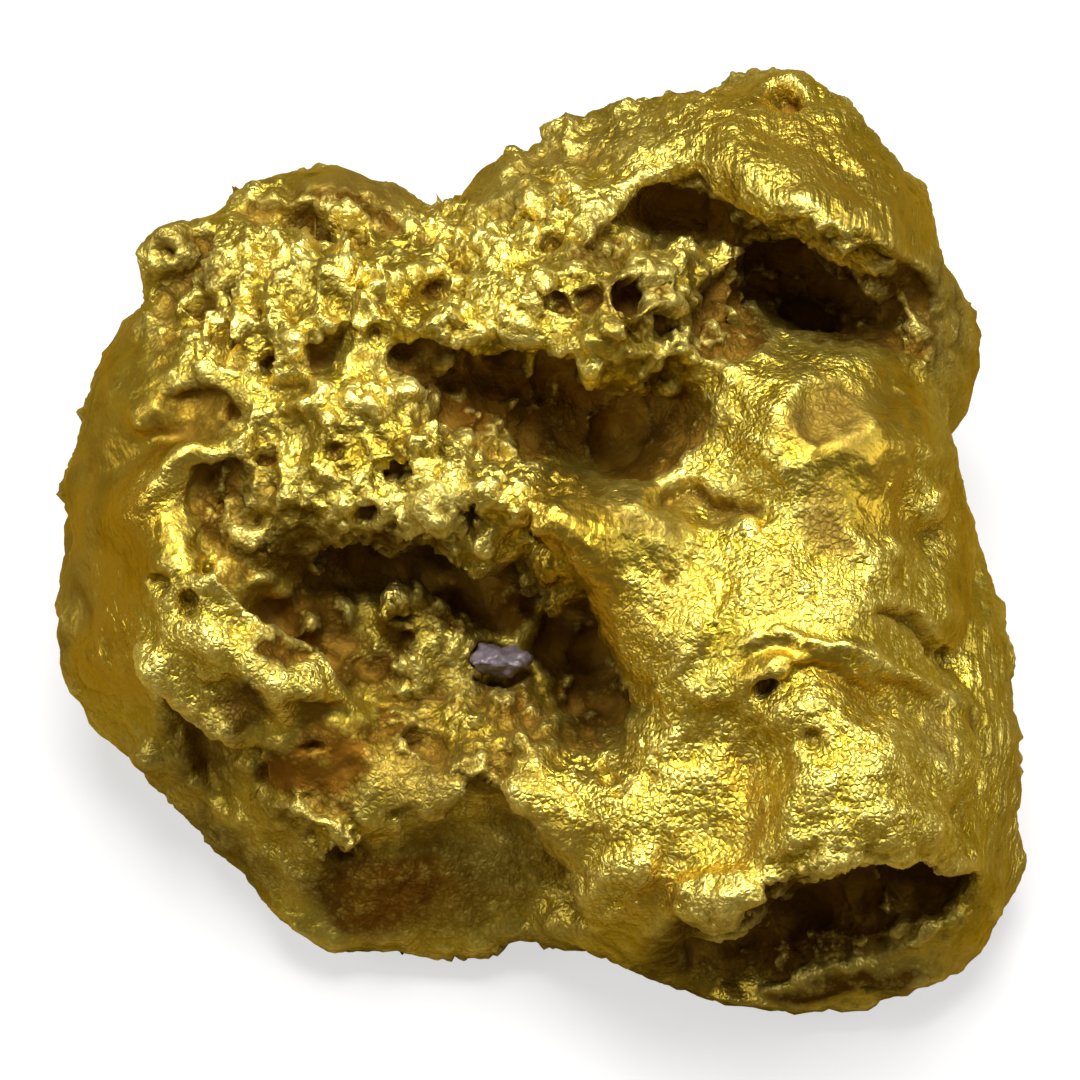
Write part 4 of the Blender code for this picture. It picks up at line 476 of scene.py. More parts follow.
# Hollows of three widths, by rounds of evening out, and the depths or heights over which their
# painted shade and the painted fill light on their stain, the painted shade in crevices, and the
# tips' paler gold, part wear and part painted highlight, come in.
WIDE_ROUNDS = 60
WIDE_DEPTHS = (0.02, 0.3)
MIDDLE_ROUNDS = 28
MIDDLE_DEPTHS = (0.0, 0.12)
NARROW_ROUNDS = 14
CREVICE_DEPTHS = (0.01, 0.09)
TIP_HEIGHTS = (0.0, 0.06)

# The quartz chip's broken flakes, and the grit on them.
FLAKE_SIZE = 0.22
FLAKE_LEVEL = 0.45
GRIT_SIZE = 0.12
GRIT_HEIGHT = 0.03

# The most triangles the gold is thinned to, a little under 200,000. A piece has to stay
# under 200,000.
MOST_TRIANGLES = 196000

# The materials' patterns, in repeats per metre, and their relief in metres.
BLOTCH_SCALE = 450.0
TARNISH_SCALE = 900.0
MOTTLE_SCALE = 1400.0
SPECKLE_SCALE = 6600.0
STREAK_SCALE = 9000.0
STREAK_TURN = (0.0, 0.0, math.radians(35))
STREAK_STRETCH = (1.0, 0.16, 1.0)
GOLD_RELIEF = 0.0001
FEATHER_SCALE = 4200.0
RUST_SCALE = 2600.0
QUARTZ_RELIEF = 0.00005
QUARTZ_IOR = 1.54

# The stage, in metres: half the floor's width, its gap under the nugget, and each lamp's name,
# place, width and power setting.
FLOOR_REACH = 0.3
FLOOR_GAP = 0.00001
LAMPS = (
    ("main_lamp", (0.0, 0.045, 0.16), 0.1, "main_power"),
    ("left_lamp", (-0.12, -0.03, 0.09), 0.06, "side_power"),
    ("right_lamp", (0.13, -0.01, 0.09), 0.08, "side_power"),
)


def seen_places(points):
    """Where points stand on the show face, as an eye squarely in front of it sees them."""
    from_middle = points - np.array(FACE_MIDDLE)
    nearer = EYE_DISTANCE / (EYE_DISTANCE - from_middle @ np.array(OUT))
    return from_middle @ np.array(ACROSS) * nearer, from_middle @ np.array(UP) * nearer


def ramp(value, low, high):
    """0 below low, 1 above high, and a soft rise between them."""
    share = np.clip((value - low) / (high - low), 0, 1)
    return share * share * (3 - 2 * share)


def oval_distance(places, middle, radii, turn):
    """How far places are from an oval's middle, counted in its radii."""
    cosine, sine = math.cos(math.radians(turn)), math.sin(math.radians(turn))
    across, up = places[0] - middle[0], places[1] - middle[1]
    return np.hypot((across * cosine + up * sine) / radii[0], (up * cosine - across * sine) / radii[1])


def beside_line(places, line):
    """How far places are from a line of points, which side they are on, and a fade at its ends."""
    count = len(places[0])
    nearest = np.full(count, np.inf)
    left = np.zeros(count)
    travelled = np.zeros(count)
    walked = 0.0
    for start, end in zip(line, line[1:]):
        run = (end[0] - start[0], end[1] - start[1])
        length = math.hypot(*run)
        across, up = places[0] - start[0], places[1] - start[1]
        along = np.clip((across * run[0] + up * run[1]) / length**2, 0, 1)
        apart = np.hypot(across - run[0] * along, up - run[1] * along)
        closer = apart < nearest
        nearest = np.where(closer, apart, nearest)
        left = np.where(closer, np.sign(run[0] * up - run[1] * across), left)
        travelled = np.where(closer, walked + along * length, travelled)
        walked += length
    from_end = np.minimum(travelled, walked - travelled)
    return nearest, left, ramp(from_end, -END_SLACK, min(END_FADE, walked / 3))


def patches(places, ovals):
    """How much of a finish each place has: 1 inside its patches, fading out across their borders."""
    share = np.zeros(len(places[0]))
    for across, up, half_length, half_width, turn, strength in ovals:
        apart = oval_distance(places, (across, up), (half_length, half_width), turn)
        share = np.maximum(share, strength * (1 - ramp(apart, *PATCH_BORDER)))
    return share


def points_of(mesh):
    points = np.empty(len(mesh.vertices) * 3)
    mesh.vertices.foreach_get("co", points)
    return points.reshape(-1, 3)


def normals_of(mesh):
    normals = np.empty(len(mesh.vertices) * 3)
    mesh.vertices.foreach_get("normal", normals)
    return normals.reshape(-1, 3)


def set_points(mesh, points):
    mesh.vertices.foreach_set("co", np.ascontiguousarray(points, dtype=np.float32).ravel())
    mesh.update()


def edges_of(mesh):
    edges = np.empty(len(mesh.edges) * 2, dtype=int)
    mesh.edges.foreach_get("vertices", edges)
    return edges.reshape(-1, 2)


def evened(values, edges, rounds):
    """Values at the vertices, each drawn towards its neighbours' mean so many times."""
    count = len(values)
    neighbours = np.bincount(edges.ravel(), minlength=count)
    values = values.reshape(count, -1).copy()
    for _ in range(rounds):
        total = np.zeros_like(values)
        for column in range(values.shape[1]):
            total[:, column] = np.bincount(edges[:, 0], values[edges[:, 1], column], count)
            total[:, column] += np.bincount(edges[:, 1], values[edges[:, 0], column], count)
        values = (values + total) / (neighbours + 1)[:, None]
    return values


def at_each(points, size, measure):
    """A noise measured at each point, its pattern so many millimetres in size."""
    return np.array([measure(Vector(point)) for point in points / size])


def crumbs(points, size):
    """Crumbs of uneven height and lean: about 1 on top of each one and 0 in the seams between."""
    def crumb(place):
        distances, middles = noise.voronoi(place)
        height = 0.65 + 0.35 * noise.cell(middles[0] * 7.3)
        seam = min((distances[1] - distances[0]) / SEAM_WIDTH, 1)
        chosen = int(abs(noise.cell(middles[0] * 3.1)) * len(LEANS)) % len(LEANS)
        return height * seam * (1 + (place - middles[0]).dot(LEANS[chosen]))
    return at_each(points, size, crumb)


def ribs(points, size):
    """Wavy ribs that run down the show face: 1 along their tops and falling to the furrows."""
    run = np.outer(points @ np.array(UP), np.array(UP))
    lean = np.outer(points @ np.array(UP), np.array(ACROSS))
    return at_each(points - run * 0.6 + lean * 0.25, size, lambda place: (
        1 - 2.6 * abs(noise.fractal(place, 0.9, 2.1, 3))))


def odd_cells(points, size, share):
    """1 at the middle of a few chosen cells, 0 elsewhere."""
    def hole(place):
        distances, middles = noise.voronoi(place)
        chosen = noise.cell(middles[0] * 7.3) < share * 2 - 1
        return max(0, 1 - distances[0] / 0.5) if chosen else 0
    return at_each(points, size, hole)


def wandering(points, size, reach, octaves=2):
    """The points, shifted by an uneven wobble."""
    shift = [noise.turbulence_vector(Vector(point), octaves, False) for point in points / size]
    return points + np.array(shift) * reach


def fine_copy(node, name, voxel, levels):
    """A copy of a CAD node in millimetres, smoothed and laid on an even grid."""
    form = bmesh.new()
    form.from_mesh(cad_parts[node].data)
    bmesh.ops.remove_doubles(form, verts=form.verts, dist=MM * 0.0005)
    bmesh.ops.transform(form, matrix=Matrix.Scale(1 / MM, 4), verts=form.verts)
    rough = bpy.data.meshes.new(name + "_rough")
    form.to_mesh(rough)
    form.free()
    holder = bpy.data.objects.new(name + "_rough", rough)
    bpy.context.scene.collection.objects.link(holder)
    smoothing = holder.modifiers.new("smoothing", "SUBSURF")
    smoothing.levels = levels
    smoothing.render_levels = levels
    grid = holder.modifiers.new("grid", "REMESH")
    grid.mode = "VOXEL"
    grid.voxel_size = voxel
    bpy.context.view_layer.update()
    evaluated = holder.evaluated_get(bpy.context.evaluated_depsgraph_get())
    mesh = bpy.data.meshes.new_from_object(evaluated)
    mesh.name = name
    bpy.data.objects.remove(holder)
    bpy.data.meshes.remove(rough)
    return mesh


def carve(mesh):
    """Cut the show face's pits, steps and slits, and raise its crests."""
    points = points_of(mesh)
    normals = evened(normals_of(mesh), edges_of(mesh), CARVE_EVENING)
    places = seen_places(wandering(points, *CARVE_WOBBLE))
    move = np.zeros(len(points))
    for across, up, radius, depth, stretch, turn in PITS:
        apart = oval_distance(places, (across, up), (radius * stretch, radius), turn)
        move -= depth * (1 - ramp(apart, *PIT_WALL))
        move += depth * RIM_SHARE * np.exp(-((apart - RIM_PLACE) / RIM_WIDTH) ** 2)
    for line, drop, high_run, low_run in STEPS:
        apart, left, fade = beside_line(places, line)
        run = np.where(left > 0, high_run, low_run)
        share = np.where(left > 0, HIGH_SHARE, HIGH_SHARE - 1)
        share = share * np.tanh(apart / STEP_EDGE) * np.exp(-apart / run)
        move += drop * share * fade
    for line, depth, half_width in SLITS:
        apart, _, fade = beside_line(places, line)
        move -= depth * np.exp(-(apart / half_width) ** 2) * fade
    for line, height, half_width in CRESTS:
        apart, _, fade = beside_line(places, line)
        move += height * np.exp(-(apart / half_width) ** 2) * fade
    shown = ramp(normals @ np.array(OUT), -0.05, 0.25)
    set_points(mesh, points + normals * (move * shown)[:, None])


def finish_shares(mesh):
    """How much of each finish every vertex has."""
    points = points_of(mesh)
    normals = evened(normals_of(mesh), edges_of(mesh), FINISH_EVENING)
    places = seen_places(wandering(points, *FINISH_WOBBLE))
    shown = ramp(normals @ np.array(OUT), -0.1, 0.3)
    first = at_each(points, FIRST_HIDDEN_SIZE, lambda place: noise.fractal(place, 1.0, 2.0, 3))
    second = at_each(points + SECOND_HIDDEN_SHIFT, SECOND_HIDDEN_SIZE, lambda place: (
        noise.fractal(place, 1.0, 2.0, 3)))
    shares = {}
    for finish, ovals in FINISHES.items():
        borders, by_first = HIDDEN_FINISH[finish]
        hidden = ramp(first if by_first else second, *borders)
        shares[finish] = patches(places, ovals) * shown + hidden * (1 - shown)
    return shares


def thinned(mesh, name, most_triangles):
    """The mesh with its flatter parts in larger triangles."""
    holder = bpy.data.objects.new(name + "_fine", mesh)
    bpy.context.scene.collection.objects.link(holder)
    collapse = holder.modifiers.new("collapse", "DECIMATE")
    collapse.ratio = most_triangles / sum(len(face.vertices) - 2 for face in mesh.polygons)
    bpy.context.view_layer.update()
    evaluated = holder.evaluated_get(bpy.context.evaluated_depsgraph_get())
    light = bpy.data.meshes.new_from_object(evaluated)
    light.name = name
    bpy.data.objects.remove(holder)
    bpy.data.meshes.remove(mesh)
    return light


def roughen(mesh, shares, crumb_size, crumb_height):
    """Raise the crust's crumbs, pit it between them, and ripple the worn gold."""
    points = points_of(mesh)
    normals = evened(normals_of(mesh), edges_of(mesh), 3)
    crumbly, worn, ribbed = shares["crumbly"], shares["worn"], shares["ribbed"]
    places = wandering(points, *CRUMB_WOBBLE)
    coarse = crumbs(places, crumb_size) - CRUMB_LEVEL
    fine = crumbs(places + FINE_SHIFT, crumb_size * FINE_SHARE) - CRUMB_LEVEL
    furrows = ribs(wandering(points + RIB_SHIFT, *RIB_WOBBLE), RIB_SIZE) - RIB_LEVEL
    hole_places = wandering(points + HOLE_SHIFT, *HOLE_WOBBLE)
    holes = odd_cells(hole_places, crumb_size * HOLE_SPACING, HOLE_SHARE)
    uneven = at_each(points, UNEVEN_SIZE, lambda place: noise.fractal(place, 0.7, 2.1, 3))
    ripples = at_each(points, RIPPLE_SIZE, lambda place: noise.fractal(place, 1.0, 2.0, 2))
    clump = at_each(wandering(points + CLUMP_SHIFT, *CLUMP_WOBBLE), CLUMP_SIZE, lambda place: (
        noise.fractal(place, 1.0, 2.0, 3)))
    shares["low"] = (1 - ramp(clump, -0.3, 0.15)) * crumbly
    crumbled = (0.75 * coarse + 0.55 * fine) * (1 - 0.6 * ribbed) + (0.4 + 1.4 * ribbed) * furrows
    crumbled *= 1 - 0.55 * shares["low"]
    move = crumb_height * (crumbled + 0.5 * np.tanh(clump * 3)) * (0.06 + crumbly)
    move -= crumb_height * HOLE_DEPTH * holes * crumbly
    move += UNEVEN_HEIGHT * uneven * (1 - 0.6 * worn) + RIPPLE_HEIGHT * ripples
    set_points(mesh, points + normals * move[:, None])


def hollowness(mesh, rounds):
    """Above 0 in a hollow and below 0 on a bump, in millimetres; more rounds find wider ones."""
    points = points_of(mesh)
    edges = edges_of(mesh)
    around = evened(points, edges, rounds)
    return np.einsum("ij,ij->i", around - points, evened(normals_of(mesh), edges, 3))


def paint(mesh, name, values):
    layer = mesh.attributes.new(name, "FLOAT", "POINT")
    layer.data.foreach_set("value", np.ascontiguousarray(values, dtype=np.float32))


class Signal:
    """A socket's value on its way through a material; arithmetic on it adds Math nodes."""

    def __init__(self, socket):
        self.socket = socket

    def math(self, operation, first, second=None):
        node = self.socket.id_data.nodes.new("ShaderNodeMath")
        node.operation = operation
        for place, value in enumerate((first, second)):
            if isinstance(value, Signal):
                self.socket.id_data.links.new(value.socket, node.inputs[place])
            elif value is not None:
                node.inputs[place].default_value = value
        return Signal(node.outputs[0])

    def __add__(self, other):
        return self.math("ADD", self, other)

    __radd__ = __add__

    def __sub__(self, other):
        return self.math("SUBTRACT", self, other)

    def __rsub__(self, other):
        return self.math("SUBTRACT", other, self)

    def __mul__(self, other):
        return self.math("MULTIPLY", self, other)

    __rmul__ = __mul__

    def clamped(self):
        return self.math("MINIMUM", self.math("MAXIMUM", self, 0.0), 1.0)


class Finish:
    """A material under construction, with a Principled BSDF of its own."""

    def __init__(self, name):
        self.material = bpy.data.materials.new(name)
        self.material.use_nodes = True
        self.tree = self.material.node_tree
        self.shader = self.tree.nodes["Principled BSDF"]

    def node(self, kind, settings=None, sockets=None, output=0):
        """Add a node: its settings first, then the values or links of its sockets."""
        node = self.tree.nodes.new(kind)
        for setting, value in (settings or {}).items():
            setattr(node, setting, value)
        self.feed(node, sockets or {})
        return Signal(node.outputs[output])

    def feed(self, node, sockets):
        for socket, value in sockets.items():
            if isinstance(value, Signal):
                self.tree.links.new(value.socket, node.inputs[socket])
            else:
                node.inputs[socket].default_value = value

    def attribute(self, name):
        return self.node("ShaderNodeAttribute", {"attribute_name": name}, output="Fac")

    def mixed(self, share, first, second):
        """A colour between two others."""
        return self.node("ShaderNodeMix", {"data_type": "RGBA"}, {0: share, 6: first, 7: second}, 2)

    def place(self, turn=(0, 0, 0), stretch=(1, 1, 1)):
        """Object coordinates, turned and stretched."""
        coordinates = self.node("ShaderNodeTexCoord", output="Object")
        return self.node("ShaderNodeMapping", None, {
            "Vector": coordinates, "Rotation": turn, "Scale": stretch,
        })

    def noise(self, place, scale, detail=2.0, roughness=0.5):
        return self.node("ShaderNodeTexNoise", None, {
            "Vector": place, "Scale": scale, "Detail": detail, "Roughness": roughness,
        })

    def vector(self, operation, first, second):
        return self.node("ShaderNodeVectorMath", {"operation": operation}, {0: first, 1: second})


def colour(rgb):
    return (*rgb, 1.0)


def native_gold(looks):
    """Frosted native gold: crystal grain, worn satin folds, brown stain and greyed flanks, with
    painted shade in its hollows, crevices, low ground and grain seams, painted fill light on the stain
    deep in the hollows, and tips painted paler.
    """
    finish = Finish("native_gold")
    frosted = finish.attribute("frosted")
    crumbly = finish.attribute("crumbly")
    worn = finish.attribute("worn")
    stained = finish.attribute("stained")
    rusty = finish.attribute("rusty")
    greyed = finish.attribute("greyed")
    streaked = finish.attribute("streaked")
    hollow = finish.attribute("hollow")
    crevice = finish.attribute("crevice")
    tip = finish.attribute("tip")
    low = finish.attribute("low")
    place = finish.place()
    mottle = finish.noise(place, MOTTLE_SCALE, 4.0, 0.6)
    speckle = finish.noise(place, SPECKLE_SCALE, 1.5, 0.5)
    blotch = finish.noise(place, BLOTCH_SCALE, 3.0, 0.55)
    tarnish_noise = finish.noise(place, TARNISH_SCALE, 5.0, 0.65)

    grain = {"Vector": place, "Scale": 1 / looks.grain_size}
    facets = finish.node("ShaderNodeTexVoronoi", {"feature": "F1"}, grain, "Color")
    inside = finish.node("ShaderNodeTexVoronoi", {"feature": "DISTANCE_TO_EDGE"}, grain, "Distance")
    shine = finish.node("ShaderNodeSeparateColor", None, {0: facets}, "Red")
    seam = (1.0 - inside * 3.5).clamped() * (1.0 - 0.45 * crumbly)

    streak_place = finish.place(STREAK_TURN, STREAK_STRETCH)
    streaks = finish.noise(streak_place, STREAK_SCALE, 2.0)

    grainy = (frosted * 0.8 + crumbly * 0.9 + 0.35 - worn * 0.28 - stained * 0.1 - low * 0.3).clamped()
    tilt = finish.vector("SUBTRACT", facets, (0.5, 0.5, 0.5))
    tilted = finish.node("ShaderNodeVectorMath", {"operation": "SCALE"}, {
        0: tilt, 3: grainy * looks.grain_tilt,
    })
    straight = finish.node("ShaderNodeNewGeometry", output="Normal")
    normal = finish.vector("ADD", straight, tilted)
    normal = finish.node("ShaderNodeVectorMath", {"operation": "NORMALIZE"}, {0: normal})

    relief = speckle * (0.3 + 0.85 * grainy) + mottle * 0.6 + streaks * streaked * 1.2
    relief = relief - seam * grainy * 0.18
    bump = finish.node("ShaderNodeBump", None, {
        "Strength": 0.6, "Distance": GOLD_RELIEF, "Height": relief, "Normal": normal,
    })

    # The grains' own random tone, with painted shade darkening the seams between the grains.
    pale = (0.56 + 0.4 * (shine - 0.5) - 0.6 * seam + 2.2 * (speckle - 0.5)).clamped()
    # Convex tips are painted paler: part worn bright gold, part painted highlight.
    pale_share = (0.1 + 0.65 * pale * grainy + 0.5 * tip + 0.5 * (mottle - 0.5)).clamped()
    bright = finish.mixed(pale_share, colour(looks.deep_colour), colour(looks.bright_colour))
    gold = finish.mixed((worn + (blotch - 0.5) * 0.8).clamped(), bright, colour(looks.worn_colour))
    tarnish = ((tarnish_noise - 0.5) * 7.0).clamped() * (1.0 - 0.7 * frosted)
    # Real tarnish in mottled patches, plus painted shade on the low ground between the crust's clumps.
    tarnish_and_low_shade = (tarnish * (0.5 + 0.15 * worn) + low * 0.55).clamped()
    gold = finish.mixed(tarnish_and_low_shade, gold, colour(looks.tarnish_and_shade_colour))
    grey_share = (greyed * (0.35 + 0.5 * mottle)).clamped()
    gold = finish.mixed(grey_share, gold, colour(looks.grey_colour))
    # Painted shade: the gold is painted a dull dark olive in the hollows, and is made less metallic
    # there.
    hollow_shade = (hollow * (0.6 + 0.9 * mottle)).clamped()
    gold = finish.mixed(hollow_shade * 0.7, gold, colour(looks.tarnish_and_shade_colour))
    stain_share = (stained * (0.85 + 0.8 * mottle - 0.6 * tip - 0.4 * pale)).clamped()
    stain = finish.mixed(rusty, colour(looks.stain_colour), colour(looks.rust_colour))
    # Painted light: deep in the hollows the stain is painted paler, standing for fill light that lifts
    # them.
    stain = finish.mixed((hollow * 1.3).clamped(), stain, colour(looks.painted_fill_stain_colour))
    gold = finish.mixed(stain_share, gold, stain)
    # Painted shade: the narrowest crevices are painted dark brown and made less metallic.
    gap = (crevice * (0.55 + 0.35 * crumbly) * (1.0 - 0.4 * frosted)).clamped()
    gold = finish.mixed(gap, gold, colour(looks.crevice_shade_colour))

    roughness = 0.38 + 0.07 * grainy + 0.2 * stain_share + 0.1 * (mottle - 0.5) + 0.12 * grey_share
    metallic = (1.0 - 0.35 * stain_share - 0.25 * gap - 0.2 * hollow_shade).clamped()
    finish.feed(finish.shader, {
        "Base Color": gold, "Roughness": roughness, "Metallic": metallic, "Normal": bump,
        "Specular IOR Level": 0.1, "Specular Tint": colour(looks.edge_colour),
    })
    return finish.material


def host_quartz(looks):
    """Grey-lilac glassy quartz with paler feathers and rusty rims."""
    finish = Finish("host_quartz")
    place = finish.place()
    feather = finish.noise(place, FEATHER_SCALE, 4.0, 0.6)
    rust = finish.noise(place, RUST_SCALE, 2.0)
    clear = finish.mixed(feather, colour(looks.dark_colour), colour(looks.pale_colour))
    stone = finish.mixed((rust * 2.2 - 1.0).clamped() * 0.6, clear, colour(looks.rust_colour))
    bump = finish.node("ShaderNodeBump", None, {
        "Strength": 0.4, "Distance": QUARTZ_RELIEF, "Height": feather,
    })
    finish.feed(finish.shader, {
        "Base Color": stone, "Roughness": 0.18 + 0.3 * rust, "Normal": bump, "IOR": QUARTZ_IOR,
    })
    return finish.material


def colour_property(name, description, default):
    return bpy.props.FloatVectorProperty(
        name=name, description=description, subtype="COLOR", size=3, min=0, max=1, default=default)


class GoldLooks(bpy.types.PropertyGroup):
    mesh_grid: bpy.props.FloatProperty(
        name="Mesh grid", description="Spacing of the fine mesh, in millimetres", default=0.055)
    crumb_size: bpy.props.FloatProperty(
        name="Crumb size", description="Width of the crust's crumbs, in millimetres", default=0.4)
    crumb_height: bpy.props.FloatProperty(
        name="Crumb height", description="How far the crumbs stand out, in millimetres", default=0.16)
    grain_size: bpy.props.FloatProperty(
        name="Grain size", description="Width of the gold's crystal facets", default=0.00008,
        subtype="DISTANCE", unit="LENGTH", precision=6)
    grain_tilt: bpy.props.FloatProperty(
        name="Grain tilt", description="How far the facets lean out of the surface", default=0.17)
    bright_colour: colour_property("Bright gold", "Frosted gold", (0.93, 0.79, 0.22))
    edge_colour: colour_property("Edge tint", "Tint of the gold seen edge on", (1.0, 0.85, 0.35))
    deep_colour: colour_property("Deep gold", "Gold between the grains", (0.46, 0.335, 0.02))
    worn_colour: colour_property("Worn gold", "Smooth worn gold", (0.55, 0.36, 0.035))
    grey_colour: colour_property("Greyed gold", "Dull gold of the flanks", (0.4, 0.31, 0.075))
    # The colour of the real tarnish mottling, and also the painted shade in the hollows and on the low
    # ground between crust clumps.
    tarnish_and_shade_colour: colour_property("Hollow gold", "Dull olive gold in hollows", (0.27, 0.18, 0.012))
    stain_colour: colour_property("Stain", "Brown stain in the hollows", (0.1, 0.048, 0.004))
    rust_colour: colour_property("Rust", "Redder stain", (0.17, 0.07, 0.005))
    # Painted light: the paler stain painted deep in the hollows, standing for the fill light there.
    painted_fill_stain_colour: colour_property("Clay", "Paler stain deep in the hollows", (0.36, 0.2, 0.022))
    # Painted shade: the dark brown that the narrowest crevices are painted with.
    crevice_shade_colour: colour_property("Crevice", "Dirt in the narrowest slits", (0.08, 0.034, 0.004))


class QuartzLooks(bpy.types.PropertyGroup):
    mesh_grid: bpy.props.FloatProperty(
        name="Mesh grid", description="Spacing of the chip's mesh, in millimetres", default=0.02)
    flake_height: bpy.props.FloatProperty(
        name="Flake height", description="How far the broken flakes stand out, in millimetres",
        default=0.09)
    pale_colour: colour_property("Pale quartz", "Pale feathers", (0.3, 0.25, 0.29))
    dark_colour: colour_property("Dark quartz", "Clear dark quartz", (0.07, 0.05, 0.06))
    rust_colour: colour_property("Rust", "Rusty rims", (0.16, 0.07, 0.02))


class StageLooks(bpy.types.PropertyGroup):
    view_width: bpy.props.FloatProperty(
        name="View width", description="Width of the view at the nugget", default=0.0144,
        subtype="DISTANCE", unit="LENGTH", precision=5)
    main_power: bpy.props.FloatProperty(
        name="Main lamp", description="Power of the soft lamp overhead", default=0.5, unit="POWER")
    side_power: bpy.props.FloatProperty(
        name="Side lamps", description="Power of each of the soft lamps at the sides", default=0.06,
        unit="POWER")
    sky_colour: colour_property("Studio glow", "Light from all round", (0.13, 0.11, 0.06))
    floor_colour: colour_property("Floor", "Pale floor", (0.8, 0.8, 0.8))
    glow_colour: colour_property(
        "Floor glow", "Light the floor gives off, which lifts its shadow", (0.96, 0.96, 0.96))
    glow_share: bpy.props.FloatProperty(
        name="Glow share", description="How much of the floor's look is its glow", default=0.65)
    reflected_colour: colour_property(
        "Floor in reflections", "The floor as the gold mirrors it", (0.24, 0.19, 0.1))


def soft_lamp(name, place, width, power):
    """A square lamp aimed at the middle of the nugget."""
    light = bpy.data.lights.new(name, "AREA")
    light.size = width
    light.energy = power
    lamp = bpy.data.objects.new(name, light)
    lamp.location = place
    aim = Vector((0, 0, FACE_MIDDLE[2] * MM)) - lamp.location
    lamp.rotation_euler = aim.to_track_quat("-Z", "Y").to_euler()
    bpy.context.scene.collection.objects.link(lamp)


class NUGGET_OT_stage(bpy.types.Operator):
    """Set the floor, the lamps and the camera round the nugget"""

    bl_idname = "nugget.stage"
    bl_label = "Stage"

    def execute(self, context):
        looks = context.scene.nugget_stage
        scene = context.scene
        scene.view_settings.view_transform = "Standard"

        camera = bpy.data.cameras.new("camera")
        distance = EYE_DISTANCE * MM
        camera.lens = camera.sensor_width * distance / looks.view_width
        camera.clip_start = MM
        eye = bpy.data.objects.new("camera", camera)
        eye.location = Vector(FACE_MIDDLE) * MM + OUT * distance
        eye.rotation_euler = (math.pi / 2 - FACE_LEAN, 0, 0)
        scene.collection.objects.link(eye)
        scene.camera = eye

        form = bmesh.new()
        bmesh.ops.create_grid(form, x_segments=1, y_segments=1, size=FLOOR_REACH)
        bmesh.ops.translate(form, vec=(0, 0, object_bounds()[0][2] - FLOOR_GAP), verts=form.verts)
        mesh = bpy.data.meshes.new("floor")
        form.to_mesh(mesh)
        form.free()
        floor = bpy.data.objects.new("floor", mesh)
        scene.collection.objects.link(floor)
        finish = Finish("floor")
        finish.feed(finish.shader, {"Roughness": 0.9, "Base Color": colour(looks.floor_colour)})
        lit = Signal(finish.shader.outputs[0])
        glow = finish.node("ShaderNodeEmission", None, {0: colour(looks.glow_colour)})
        seen = finish.node("ShaderNodeMixShader", None, {0: looks.glow_share, 1: lit, 2: glow})
        mirrored = finish.node("ShaderNodeBsdfDiffuse", None, {0: colour(looks.reflected_colour)})
        ray = finish.node("ShaderNodeLightPath", output="Is Camera Ray")
        either = finish.node("ShaderNodeMixShader", None, {0: ray, 1: mirrored, 2: seen})
        finish.tree.links.new(either.socket, finish.tree.nodes["Material Output"].inputs[0])
        mesh.materials.append(finish.material)
        floor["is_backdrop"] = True

        for name, place, width, power in LAMPS:
            soft_lamp(name, place, width, getattr(looks, power))
        world = bpy.data.worlds.new("studio")
        world.use_nodes = True
        world.node_tree.nodes["Background"].inputs[0].default_value = colour(looks.sky_colour)
        scene.world = world
        return {"FINISHED"}


class NUGGET_OT_gold(bpy.types.Operator):
    """Make the nugget's gold, with its crust, pits, worn folds and stain"""

    bl_idname = "nugget.gold"
    bl_label = "Gold"

    def execute(self, context):
        looks = context.scene.nugget_gold
        mesh = fine_copy("gold_body", "nugget_gold", looks.mesh_grid, 2)
        shares = finish_shares(mesh)
        carve(mesh)
        roughen(mesh, shares, looks.crumb_size, looks.crumb_height)
        shares["hollow"] = 0.6 * ramp(hollowness(mesh, WIDE_ROUNDS), *WIDE_DEPTHS)
        shares["hollow"] += 0.5 * ramp(hollowness(mesh, MIDDLE_ROUNDS), *MIDDLE_DEPTHS)
        unevenness = hollowness(mesh, NARROW_ROUNDS)
        shares["crevice"] = ramp(unevenness, *CREVICE_DEPTHS)
        shares["tip"] = ramp(-unevenness, *TIP_HEIGHTS)
        del shares["ribbed"]
        for name, values in shares.items():
            paint(mesh, name, values)
        mesh = thinned(mesh, "nugget_gold", MOST_TRIANGLES)
        points = points_of(mesh)
        points[:, 2] = np.maximum(points[:, 2], CAD_BOX[0][2] / MM)
        set_points(mesh, points)
        mesh.transform(Matrix.Scale(MM, 4))
        mesh.shade_smooth()
        mesh.materials.append(native_gold(looks))
        piece = bpy.data.objects.new("nugget_gold", mesh)
        context.scene.collection.objects.link(piece)
        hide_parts("gold_body")
        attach(piece, "root")
        return {"FINISHED"}


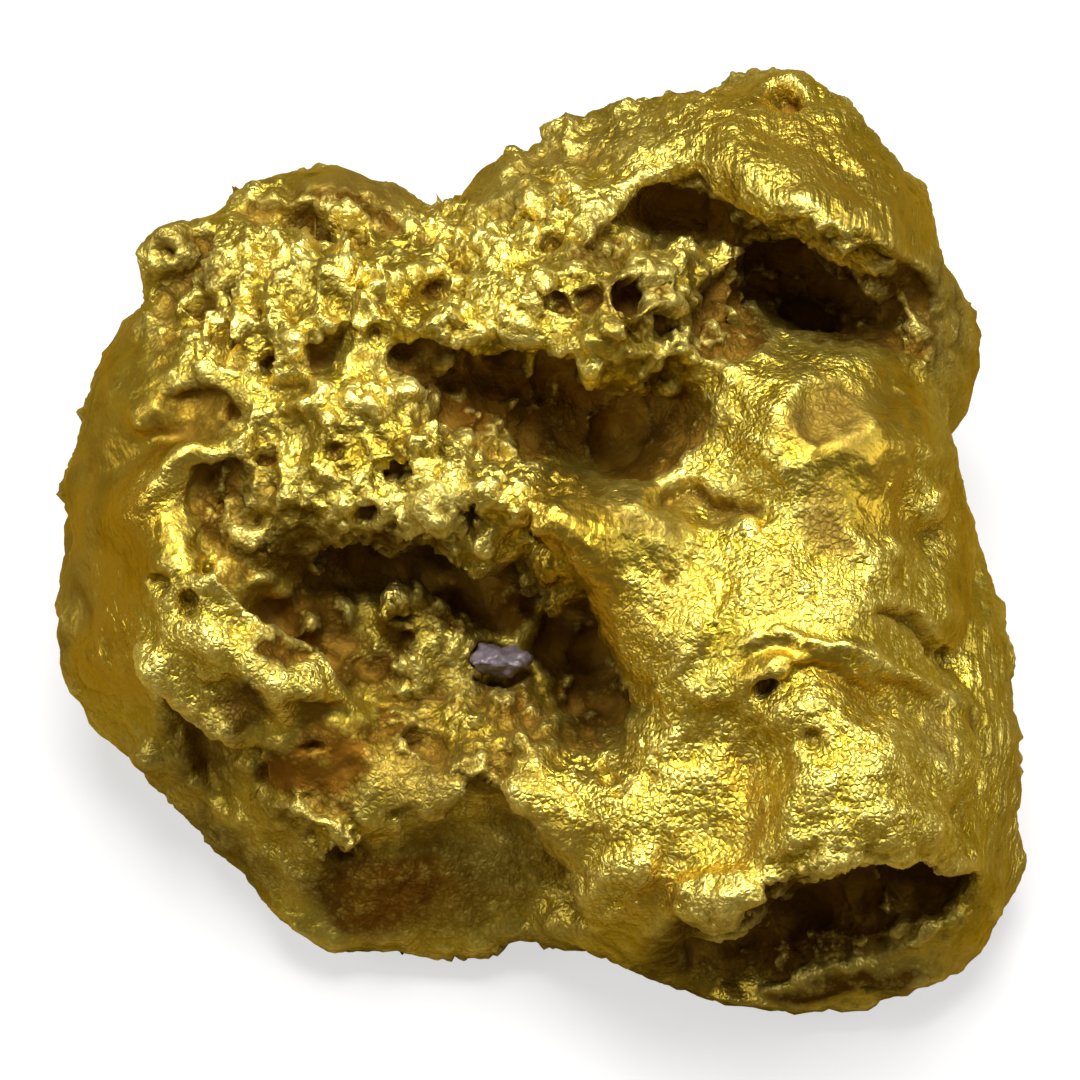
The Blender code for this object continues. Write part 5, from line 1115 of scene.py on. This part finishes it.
class NUGGET_OT_quartz(bpy.types.Operator):
    """Make the wedged chip of quartz, broken and feathered"""

    bl_idname = "nugget.quartz"
    bl_label = "Quartz"

    def execute(self, context):
        looks = context.scene.nugget_quartz
        mesh = fine_copy("quartz_grain", "quartz_chip", looks.mesh_grid, 1)
        points = points_of(mesh)
        normals = evened(normals_of(mesh), edges_of(mesh), 2)
        flakes = at_each(points, FLAKE_SIZE, lambda place: noise.voronoi(place)[0][0])
        grit = at_each(points, GRIT_SIZE, lambda place: noise.fractal(place, 0.8, 2.0, 2))
        move = looks.flake_height * (FLAKE_LEVEL - flakes) + GRIT_HEIGHT * grit
        set_points(mesh, points + normals * move[:, None])
        mesh.transform(Matrix.Scale(MM, 4))
        mesh.shade_smooth()
        mesh.materials.append(host_quartz(looks))
        piece = bpy.data.objects.new("quartz_chip", mesh)
        context.scene.collection.objects.link(piece)
        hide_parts("quartz_grain")
        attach(piece, "root")
        return {"FINISHED"}


class NUGGET_PT_panel(bpy.types.Panel):
    bl_idname = "NUGGET_PT_panel"
    bl_label = "Gold Nugget"
    bl_space_type = "VIEW_3D"
    bl_region_type = "UI"
    bl_category = "Nugget"

    def draw(self, context):
        for operator, looks in (
            ("nugget.stage", context.scene.nugget_stage),
            ("nugget.gold", context.scene.nugget_gold),
            ("nugget.quartz", context.scene.nugget_quartz),
        ):
            box = self.layout.box()
            box.operator(operator)
            for name in looks.__annotations__:
                box.prop(looks, name)


CLASSES = (
    GoldLooks, QuartzLooks, StageLooks, NUGGET_OT_stage, NUGGET_OT_gold, NUGGET_OT_quartz,
    NUGGET_PT_panel,
)


def register():
    for part in CLASSES:
        bpy.utils.register_class(part)
    bpy.types.Scene.nugget_gold = bpy.props.PointerProperty(type=GoldLooks)
    bpy.types.Scene.nugget_quartz = bpy.props.PointerProperty(type=QuartzLooks)
    bpy.types.Scene.nugget_stage = bpy.props.PointerProperty(type=StageLooks)


def unregister():
    del bpy.types.Scene.nugget_stage
    del bpy.types.Scene.nugget_quartz
    del bpy.types.Scene.nugget_gold
    for part in reversed(CLASSES):
        bpy.utils.unregister_class(part)


def main():
    register()
    bpy.ops.nugget.stage()
    bpy.ops.nugget.gold()
    bpy.ops.nugget.quartz()


if __name__ == "__main__":
    main()
